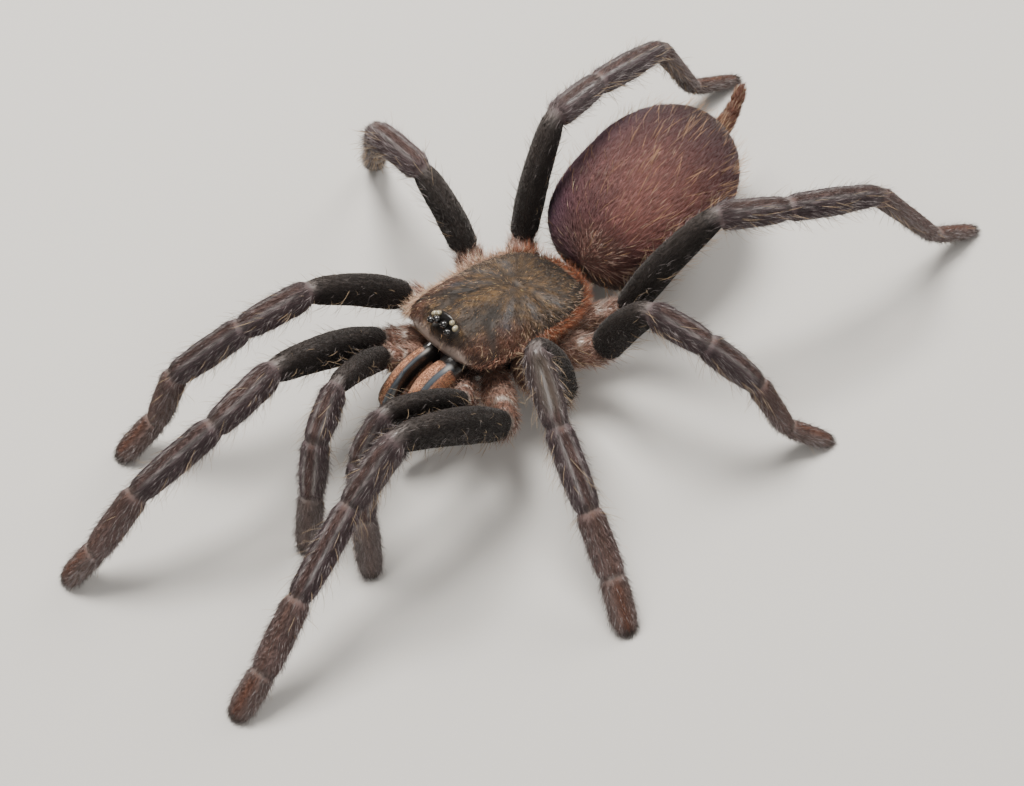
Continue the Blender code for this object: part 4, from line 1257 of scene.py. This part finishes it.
@dataclass
class Abdomen:
    """The egg-shaped rear of the body, its pile and its long golden hairs.

    Attributes:
        frame: The trunk's frame.
        front: Its front end, in carapace lengths over the floor.
        swing: Degrees that its axis turns to the spider's right.
        rise: Degrees that its axis rises to the rear.
        length: Along the axis.
        half_width: At its fullest, with the coat.
        half_height: At its fullest, with the coat.
        widest: Where along the axis it is fullest, from 0 in front to 1.
        front_bluntness: How squarely it is rounded in front of that.
        rear_bluntness: How squarely it is rounded behind that.
        coat_depth: How far the skin lies inside the solid.
        rows: Rows from front to rear.
        columns: Points round it.
    """

    frame: TrunkFrame
    front: tuple[float, float, float] = (0.036, 0.545, 0.487)
    swing: float = 9.8
    rise: float = 1.8
    length: float = 1.325
    half_width: float = 0.465
    half_height: float = 0.399
    widest: float = 0.541
    front_bluntness: float = 3.6
    rear_bluntness: float = 2.03
    coat_depth: float = 0.026
    rows: int = 72
    columns: int = 96

    def __post_init__(self) -> None:
        """Sets its own frame: the axis to the rear, the sideways and the upward direction."""
        swing, rise = math.radians(self.swing), math.radians(self.rise)
        level = math.cos(rise)
        self.axis = np.array([-math.sin(swing) * level, math.cos(swing) * level, math.sin(rise)])
        self.across = np.array([math.cos(swing), math.sin(swing), 0.0])
        self.upward = unit(np.cross(self.across, self.axis))
        self.front_end = np.array(self.front) * CARAPACE + self.frame.shift

    def skin(self) -> Surface:
        """The abdomen's skin with its markings."""
        turn = np.pi * (np.arange(self.rows) + 0.35) / (self.rows - 0.3)
        lean = -np.cos(turn)
        share = (1 + lean) / 2
        ahead = ((self.widest - share) / self.widest).clip(0, 1)
        behind = ((share - self.widest) / (1 - self.widest)).clip(0, 1)
        full = np.sqrt(1 - ahead**self.front_bluntness) * np.sqrt(1 - behind**self.rear_bluntness) * CARAPACE
        reach = (self.length * share - self.coat_depth * lean) * CARAPACE
        centres = self.front_end + self.axis * reach[:, None]
        across, upward = (np.broadcast_to(vector, centres.shape) for vector in (-self.across, self.upward))
        sizes = [(half - self.coat_depth) * full for half in (self.half_width, self.half_height)]
        points = tube(centres, across, upward, *sizes, self.columns)
        angle = round_turn(self.columns)
        # Each place from -1 to 1: to the rear, up, and to the spider's right.
        shape = points.shape[:2]
        self.lean = np.broadcast_to(lean[:, None], shape)
        self.back = np.broadcast_to(np.sin(angle), shape)
        self.right = np.broadcast_to(np.cos(angle), shape)
        self.surface = Surface(points, self.markings(), np.zeros(shape))
        return self.surface

    def markings(self) -> np.ndarray:
        """The colour of each grid point."""
        lean, back, right = self.lean, self.back, self.right
        # Rose hair, partly painted highlight: it is strongest on the top and on the left side.
        rose_and_highlight = bump(lean, -0.2, 0.5) * ramp(back, -0.1, 0.7) * (0.45 + 0.55 * ramp(-right, -0.55, 0.25))
        rose_and_highlight = rose_and_highlight + 0.75 * bump(lean, -0.62, 0.24) * ramp(-right, -0.1, 0.5) * ramp(back, -0.4, 0.3)
        base = fall(lean, -0.96, -0.78)
        over = np.abs(right)
        lung = bump(lean, -0.45, 0.14) * bump(over, 0.55, 0.22)
        lung = lung + bump(lean, -0.02, 0.12) * bump(over, 0.55, 0.2)
        return paint(
            Pelt.ABDOMEN.over(lean.shape),
            (Pelt.ABDOMEN_ROSE, 0.8 * rose_and_highlight.clip(0, 1.1)),
            # Painted sheen: a violet cast on the spider's right flank.
            (Pelt.ABDOMEN_VIOLET, 0.6 * ramp(right, 0.35, 0.95) * ramp(back, -0.7, 0.3)),
            (Pelt.ABDOMEN_DARK, 0.7 * ramp(lean, 0.45, 0.95)),
            (Pelt.ABDOMEN_DARK, 0.6 * base),
            (Pelt.ABDOMEN_FRONT, 0.9 * base * ramp(-right, -0.4, 0.2)),
            (Pelt.ABDOMEN_BELOW, ramp(-back, 0.1, 0.6)),
            (Pelt.BOOK_LUNG, 0.7 * (lung * ramp(-back, 0.5, 0.8)).clip(0, 1)),
        )

    def add_coats(self) -> None:
        """Grows the dense pile, and over it the long hairs swept to the rear."""
        lean, back, right = self.lean, self.back, self.right
        pile = Coat("coat_abdomen", self.surface, 31)
        pile.grow(Hair.ABDOMEN_PILE, 0.7 + 0.3 * ramp(back, -0.7, -0.2))
        base = fall(lean, -0.96, -0.78) * ramp(back, -0.6, 0.0) * ramp(-right, -0.2, 0.4)
        pile.grow(Hair.ABDOMEN_DOWN, base)
        pile.build(Finish.VELVET, "abdomen")
        swept = Coat("coat_abdomen_long", self.surface, 32)
        swept.grow(Hair.ABDOMEN_MIDDLE)
        flank = 0.55 * ramp(-right, 0.60, 0.95) * (0.3 + 0.7 * ramp(back, -0.5, 0.0))
        flank = flank + 0.8 * ramp(right, 0.35, 0.90) * ramp(back, -0.98, -0.60)
        where = np.maximum(flank, 0.5 * ramp(lean, 0.45, 0.9)) * (0.4 + 0.6 * ramp(lean, -0.75, -0.2))
        bare = ramp(right, 0.0, 0.6) * ramp(back, -0.65, 0.25) * fall(lean, -0.1, 0.8)
        swept.grow(Hair.ABDOMEN_GOLD, where.clip(0.24, 1) * (1 - 0.75 * bare))
        swept.build(Finish.BRISTLE, "abdomen")


@dataclass(frozen=True)
class JawShape:
    """How one jaw is made.

    Attributes:
        path: Out, forward and up of places from the hidden base to the tip, in carapace lengths.
        halves: Half-width and half-depth at the same places.
        stripe: Width of the bare stripe along its back, in degrees.
        medial: Degrees from the stripe at which the inner band of hair starts. Where it starts late, on the
            right jaw, the dark bare skin before it is a painted shadow of the left jaw.
    """

    path: tuple
    halves: tuple
    stripe: float
    medial: float


JAWS = {
    LEFT: JawShape(
        ((0.092, 0.395, -0.088), (0.095, 0.455, -0.108), (0.095, 0.612, -0.168), (0.094, 0.765, -0.325)),
        ((0.086, 0.110), (0.087, 0.120), (0.087, 0.147), (0.070, 0.098)),
        13,
        7,
    ),
    # The right jaw's late inner band leaves its inner side dark and bare: a painted shadow of the left jaw.
    RIGHT: JawShape(
        ((0.068, 0.395, -0.088), (0.068, 0.455, -0.108), (0.079, 0.612, -0.168), (0.110, 0.765, -0.325)),
        ((0.060, 0.110), (0.058, 0.116), (0.068, 0.130), (0.080, 0.098)),
        7,
        42,
    ),
}


@dataclass
class Jaws:
    """The two chelicerae, banded with short salmon hair between bare glossy stripes, and the fangs.

    Attributes:
        frame: The trunk's frame.
        outline: How far along, and the share of the full half-size there.
        roll: Degrees that the bands lie turned to the spider's left.
        fang_path: The folded fang's line, from its root.
        fang_root: Half-size of a fang's root, in carapace lengths.
        fang_taper: Share of that which is lost towards the tip.
        coat_depth: How far the shell lies inside the solid.
        rows: Rows along a jaw.
        columns: Points round a jaw.
        fang_rows: Rows along a fang.
        fang_columns: Points round a fang.
    """

    frame: TrunkFrame
    outline: tuple = ((0.0, 0.88), (0.25, 1.0), (0.77, 1.0), (0.89, 0.95), (0.955, 0.80), (1.0, 0.45))
    roll: float = 26.5
    fang_path: tuple = (
        (0.094, 0.765, -0.330),
        (0.092, 0.802, -0.400),
        (0.090, 0.800, -0.480),
        (0.086, 0.715, -0.505),
        (0.080, 0.600, -0.445),
    )
    fang_root: float = 0.044
    fang_taper: float = 0.88
    coat_depth: float = 0.006
    rows: int = 64
    columns: int = 72
    fang_rows: int = 26
    fang_columns: int = 18

    def add(self) -> None:
        """Makes both jaws, their coats and their fangs."""
        for side, word in SIDES.items():
            self.add_jaw(side, word)
            self.add_fang(side, word)

    def add_jaw(self, side: int, word: str) -> None:
        """Makes one chelicera's shell and its coat."""
        shape = JAWS[side]
        share = np.linspace(0, 1, self.rows) ** 0.9
        places = self.frame.path(shape.path, share, side)
        ahead = unit(np.gradient(places, axis=0))
        across = square_to(np.broadcast_to(self.frame.direction(1, 0, 0), ahead.shape), ahead)
        upward = np.cross(ahead, across)
        upward = upward * np.sign(upward[:, 2:3])
        full = np.interp(share, *zip(*self.outline))
        wide, deep = (curve_through(shape.halves, share).T * full - self.coat_depth) * CARAPACE
        points = tube(places, -across, upward, wide, deep, self.columns)
        # Degrees round from the back of the jaw, positive towards the outer side.
        turn = round_turn(self.columns)
        angle = np.degrees(np.arctan2(-side * np.cos(turn), np.sin(turn)))
        angle, along = np.meshgrid(angle, share)
        turned = angle - side * self.roll
        stripe = bump(turned, 2.5, shape.stripe)
        outer = ramp(turned, 9, 15) * fall(turned, 44, 54)
        inner = ramp(-turned, shape.medial, shape.medial + 7) * fall(-turned, 78, 90)
        start = ramp(along, 0.41, 0.46)
        band = np.maximum(outer, inner) * start
        flank = ramp(turned, 44, 54) * fall(turned, 115, 130) * start
        tint = paint(
            Pelt.JAW_DARK.over(angle.shape),
            (Pelt.JAW_BALD, stripe * ramp(along, 0.33, 0.40)),
            # Painted highlight: a pale glint on the bare stripe near the jaw's base, in the membrane colour.
            (Pelt.MEMBRANE_AND_HIGHLIGHT, 0.6 * bump(turned, 2.5, 7) * bump(along, 0.43, 0.06)),
            (Pelt.JAW_SIDE, flank),
            (Pelt.JAW_BAND, band),
        )
        surface = Surface(points, tint, (1 - np.maximum(band, flank)).clip(0, 1))
        dress(surface, f"jaw_{word}", Finish.JAW, "chelicera", f"chelicera_{word}")
        coat = Coat(f"coat_jaw_{word}", surface, 50 + side)
        coat.grow(Hair.JAW_BAND, band)
        coat.grow(Hair.JAW_SIDE, flank)
        end = ramp(along, 0.91, 0.96) * ramp(np.abs(angle), 60, 100)
        coat.grow(Hair.JAW_FRINGE, end, tint=Pelt.FRINGE_ORANGE.rgb)
        coat.build(Finish.PILE, "chelicera")

    def add_fang(self, side: int, word: str) -> None:
        """Makes one curved fang, tapering to a point."""
        share = np.linspace(0, 1, self.fang_rows)
        places = self.frame.path(self.fang_path, share, side)
        ahead = unit(np.gradient(places, axis=0))
        across = np.broadcast_to(self.frame.direction(1, 0, 0), ahead.shape)
        radius = self.fang_root * CARAPACE * (1 - self.fang_taper * share**1.2)
        upward = unit(np.cross(ahead, across))
        points = tube(places, across, upward, radius, radius, self.fang_columns)
        surface = Surface.plain(points, Pelt.JAW_DARK, bald=1.0)
        dress(surface, f"fang_shell_{word}", Finish.FANG, "fang", f"fang_{word}")


@dataclass
class Eyes:
    """Eight glossy domes on the eye mound.

    Attributes:
        frame: The trunk's frame.
        splay: Degrees that each eye turns outward.
        segments: Points round an eye.
        rings: Rows over an eye.
    """

    frame: TrunkFrame
    splay: float = 24.0
    segments: int = 28
    rings: int = 16

    def add(self) -> None:
        """Makes every eye, on the left and on the right."""
        for kind, size in EYE_PLACES.items():
            for side, word in SIDES.items():
                self.add_eye(kind, size, side, word)

    def add_eye(self, kind: str, size: EyePlace, side: int, word: str) -> None:
        """Makes one eye, modelled as a ball that is pressed to its three half-sizes."""
        bpy.ops.object.select_all(action="DESELECT")
        bpy.ops.mesh.primitive_uv_sphere_add(segments=self.segments, ring_count=self.rings, radius=1.0)
        eye = bpy.context.object
        eye.name = eye.data.name = f"{kind}_lens_{word}"
        out, forward, up = (self.frame.direction(*axis) for axis in np.eye(3))
        turn = math.radians(-side * self.splay)
        ahead = forward * math.cos(turn) - out * math.sin(turn)
        across = out * math.cos(turn) + forward * math.sin(turn)
        axes = np.array([across, ahead, up]) * np.array(size.halves)[:, None] * CARAPACE
        place = self.frame.point(*size.place, side)
        eye.data.transform(Matrix(np.column_stack([*axes, place]).tolist() + [[0, 0, 0, 1]]))
        eye.data.shade_smooth()
        if np.linalg.det(axes) < 0:
            eye.data.flip_normals()
        eye.data.materials.append((Finish.PALE_EYE if size.pale else Finish.DARK_EYE).material)
        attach(eye, "root")
        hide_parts(f"{kind}_{word}")


@dataclass
class Trunk:
    """What joins the limbs below the carapace: flesh, waist, breast plate, lip and spinnerets.

    Attributes:
        frame: The trunk's frame.
        abdomen: Gives the rear end from which the spinnerets grow.
        right_spinneret: Places on its line: across, up and back from the abdomen's rear end.
        left_spinneret: The same on the left.
        waist_radius: In carapace lengths.
        oval_grid: Rows and points round each flattened body.
        waist_grid: Rows along the waist and points round it.
        spinneret_grid: Rows along a spinneret and points round it.
    """

    frame: TrunkFrame
    abdomen: Abdomen
    right_spinneret: tuple = (
        (0.085, 0.055, -0.060),
        (0.078, 0.073, 0.035),
        (0.060, 0.092, 0.125),
        (0.032, 0.134, 0.235),
    )
    left_spinneret: tuple = (
        (0.035, -0.095, -0.060),
        (0.038, -0.130, 0.000),
        (0.042, -0.180, 0.045),
        (0.044, -0.240, 0.080),
    )
    waist_radius: float = 0.045
    oval_grid: tuple[int, int] = (28, 40)
    waist_grid: tuple[int, int] = (12, 20)
    spinneret_grid: tuple[int, int] = (30, 18)

    def oval(self, wide: float, long: float, middle: float, low: float, high: float, colour: Pelt) -> Surface:
        """A flattened round body.

        Args:
            wide: Its half-width.
            long: Its half-length.
            middle: How far forward its middle lies.
            low: Its lowest place.
            high: Its highest place.
            colour: Its colour.

        Returns:
            Its surface, with its rows from the front to the rear.
        """
        rows, columns = self.oval_grid
        turn = np.pi * (np.arange(rows)[:, None] + 0.5) / rows
        ring = round_turn(columns)
        out = -np.sin(turn) ** 0.6 * wide * np.cos(ring)
        rise = np.sign(np.sin(ring)) * np.abs(np.sin(ring)) ** 0.7
        up = (low + high) / 2 + np.sin(turn) ** 0.5 * (high - low) / 2 * rise
        points = self.frame.point(out, middle - long * np.cos(turn), up)
        return Surface.plain(points[::-1], colour)

    def waist(self) -> Surface:
        """The thin stalk from the flesh below the carapace to the abdomen."""
        rows, columns = self.waist_grid
        share = np.linspace(0, 1, rows)[:, None]
        start = self.frame.point(0.0, -0.36, -0.08)
        end = self.frame.point(0.0, -0.62, -0.05)
        places = start + (end - start) * share
        across = np.broadcast_to(-self.frame.direction(1, 0, 0), places.shape)
        upward = np.broadcast_to(self.frame.direction(0, 0, 1), places.shape)
        radius = np.full(rows, self.waist_radius * CARAPACE)
        return Surface.plain(tube(places, across, upward, radius, radius, columns), Pelt.BELLY)

    def spinneret(self, path: tuple) -> Surface:
        """One spinneret of three joints with a rounded tip."""
        abdomen = self.abdomen
        rear = abdomen.front_end + abdomen.axis * abdomen.length * CARAPACE
        rows, columns = self.spinneret_grid
        share = np.linspace(0, 1, rows)
        line = curve_through(path, share)
        places = rear + line @ np.array([abdomen.across, abdomen.upward, abdomen.axis]) * CARAPACE
        ahead = unit(np.gradient(places, axis=0))
        side = unit(np.cross(abdomen.upward, ahead))
        rings = 1 - 0.16 * (bump(share, 0.36, 0.03) + bump(share, 0.68, 0.03))
        tip = np.sqrt(1 - ((share - 0.9) / 0.1).clip(0, 0.995) ** 2)
        radius = (0.052 - 0.026 * share) * rings * tip * CARAPACE
        points = tube(places, side, np.cross(ahead, side), radius, radius, columns)
        return Surface.plain(points, Pelt.SPINNERET)

    def surfaces(self) -> dict[str, Surface]:
        """All the flesh of the trunk except the abdomen and the limbs."""
        return {
            "flesh": self.oval(0.21, 0.43, 0.015, -0.245, 0.010, Pelt.BELLY),
            "waist": self.waist(),
            "spinneret_right": self.spinneret(self.right_spinneret),
            "spinneret_left": self.spinneret(self.left_spinneret),
        }

    def add_plates(self) -> None:
        """Makes the sternum and, before it, the lip, each a low oval cushion with short hairs."""
        breast = self.oval(0.185, 0.245, -0.02, -0.335, -0.262, Pelt.STERNUM)
        lip = self.oval(0.062, 0.045, 0.290, -0.325, -0.267, Pelt.TROCHANTER)
        plates = (("breast_plate", "sternum", "femur", breast), ("lip", "labium", "trunk", lip))
        for name, node, slot, surface in plates:
            dress(surface, name, Finish.SKIN, slot, node)
            coat = Coat(f"coat_{name}", surface, 90)
            coat.grow(Hair.BREAST)
            coat.build(Finish.PILE, slot)


# --- Studio ----------------------------------------------------------------------------------------


@dataclass
class Studio:
    """A plain pale floor, soft lights and the camera.

    Attributes:
        frame: Gives the place over which the camera looks.
        floor_size: Side of the floor, in metres.
    """

    frame: TrunkFrame
    floor_size: float = 6.0

    def add(self) -> None:
        """Sets up the floor, the sky, the lights and the camera."""
        self.add_floor()
        self.add_sky()
        for name, (place, size, power, colour) in SOFTBOXES.items():
            self.add_softbox(name, Vector(place), size, power, colour)
        self.add_camera()

    def add_floor(self) -> None:
        """The floor, which isn't part of the model."""
        bpy.ops.object.select_all(action="DESELECT")
        bpy.ops.mesh.primitive_plane_add(size=self.floor_size)
        floor = bpy.context.object
        floor.name = "studio_floor"
        made, kit, shader = new_material("pale_floor")
        kit.feed(shader, {"Base Color": (0.62, 0.60, 0.57, 1.0), "Roughness": 0.9})
        floor.data.materials.append(made)

    def add_sky(self) -> None:
        """A pale grey sky."""
        world = bpy.data.worlds.new("studio_sky")
        world.use_nodes = True
        sky = world.node_tree.nodes["Background"]
        NodeKit(world.node_tree).feed(sky, {"Color": (1.0, 0.98, 0.96, 1.0), "Strength": 0.40})
        bpy.context.scene.world = world

    def add_softbox(self, name: str, place: Vector, size: float, power: float, colour: tuple) -> None:
        """A square soft light that faces the model.

        Args:
            name: The light's name.
            place: Where it hangs, in metres.
            size: Its side, in metres.
            power: In watts.
            colour: Its colour.
        """
        light = bpy.data.lights.new(name, "AREA")
        light.shape = "SQUARE"
        light.size = size
        light.energy = power
        light.color = colour
        aim = Vector((0.0, 0.0, 0.005)) - place
        self.hang(bpy.data.objects.new(name, light), place, aim)

    def add_camera(self) -> None:
        """The camera, at its azimuth and elevation round its aim."""
        lens = bpy.data.cameras.new("camera")
        lens.lens = CAMERA_LENS
        lens.sensor_width = 36.0
        lens.clip_start = 0.01
        lens.clip_end = 20.0
        level = math.cos(CAMERA_ELEVATION)
        across, along = math.sin(CAMERA_AZIMUTH) * level, -math.cos(CAMERA_AZIMUTH) * level
        back = Vector((across, along, math.sin(CAMERA_ELEVATION)))
        aim = Vector(CAMERA_AIM) * CARAPACE + Vector(self.frame.shift)
        camera = bpy.data.objects.new("camera", lens)
        self.hang(camera, aim + back * (CAMERA_DISTANCE * CARAPACE), -back)
        bpy.context.scene.camera = camera

    @staticmethod
    def hang(thing: bpy.types.Object, place: Vector, aim: Vector) -> None:
        """Puts a light or the camera in its place, facing along its aim."""
        thing.location = place
        thing.rotation_euler = aim.to_track_quat("-Z", "Y").to_euler()
        bpy.context.scene.collection.objects.link(thing)


# --- The whole model -------------------------------------------------------------------------------


# The coats of the small pieces of flesh: their hair, their seed and their slot.
FLESH_COATS = {
    "flesh": (Hair.FLESH, 70, "trunk"),
    "waist": (Hair.WAIST, 71, "trunk"),
    "spinneret_right": (Hair.SPINNERET, 60, "spinneret"),
    "spinneret_left": (Hair.SPINNERET, 61, "spinneret"),
}


@dataclass
class Tarantula:
    """The spider: one skin over all its flesh, its plates, its jaws, its eyes and its coat."""

    frame: TrunkFrame

    def add(self) -> None:
        """Builds every piece in order."""
        grain = grain_group()
        for finish in Finish:
            finish.value.make(grain)
        limbs = [Limb(name, self.frame) for name in POSES]
        abdomen = Abdomen(self.frame)
        trunk = Trunk(self.frame, abdomen)
        self.add_skin(limbs, abdomen, trunk)
        for seed, limb in enumerate(limbs, 100):
            limb.add_coat(seed)
        abdomen.add_coats()
        trunk.add_plates()
        for part in (Carapace, Jaws, Eyes):
            part(self.frame).add()

    def add_skin(self, limbs: list[Limb], abdomen: Abdomen, trunk: Trunk) -> None:
        """Joins all the flesh into the one skin, which stands for all its nodes."""
        surfaces = {limb.name: limb.skin() for limb in limbs}
        surfaces["abdomen"] = abdomen.skin()
        surfaces.update(trunk.surfaces())
        parts = MeshParts()
        for number, surface in enumerate(surfaces.values()):
            parts.add_surface(surface, number, len(surfaces))
        nodes = [f"{limb.name}_{word}" for limb in limbs for word in ("coxa", "femur", "shin", "foot")]
        nodes += ["prosoma", "pedicel", "abdomen", "spinneret_left", "spinneret_right"]
        parts.build("skin", Finish.SKIN, "trunk", *nodes)
        for name, (hair, seed, slot) in FLESH_COATS.items():
            coat = Coat(f"coat_{name}", surfaces[name], seed)
            coat.grow(hair)
            coat.build(Finish.PILE, slot)


def main() -> None:
    """Builds the model and its studio."""
    logging.basicConfig(level=logging.INFO, format="%(name)s: %(message)s")
    trunk_frame = TrunkFrame.from_packed_model()
    Studio(trunk_frame).add()
    Tarantula(trunk_frame).add()


if __name__ == "__main__":
    main()
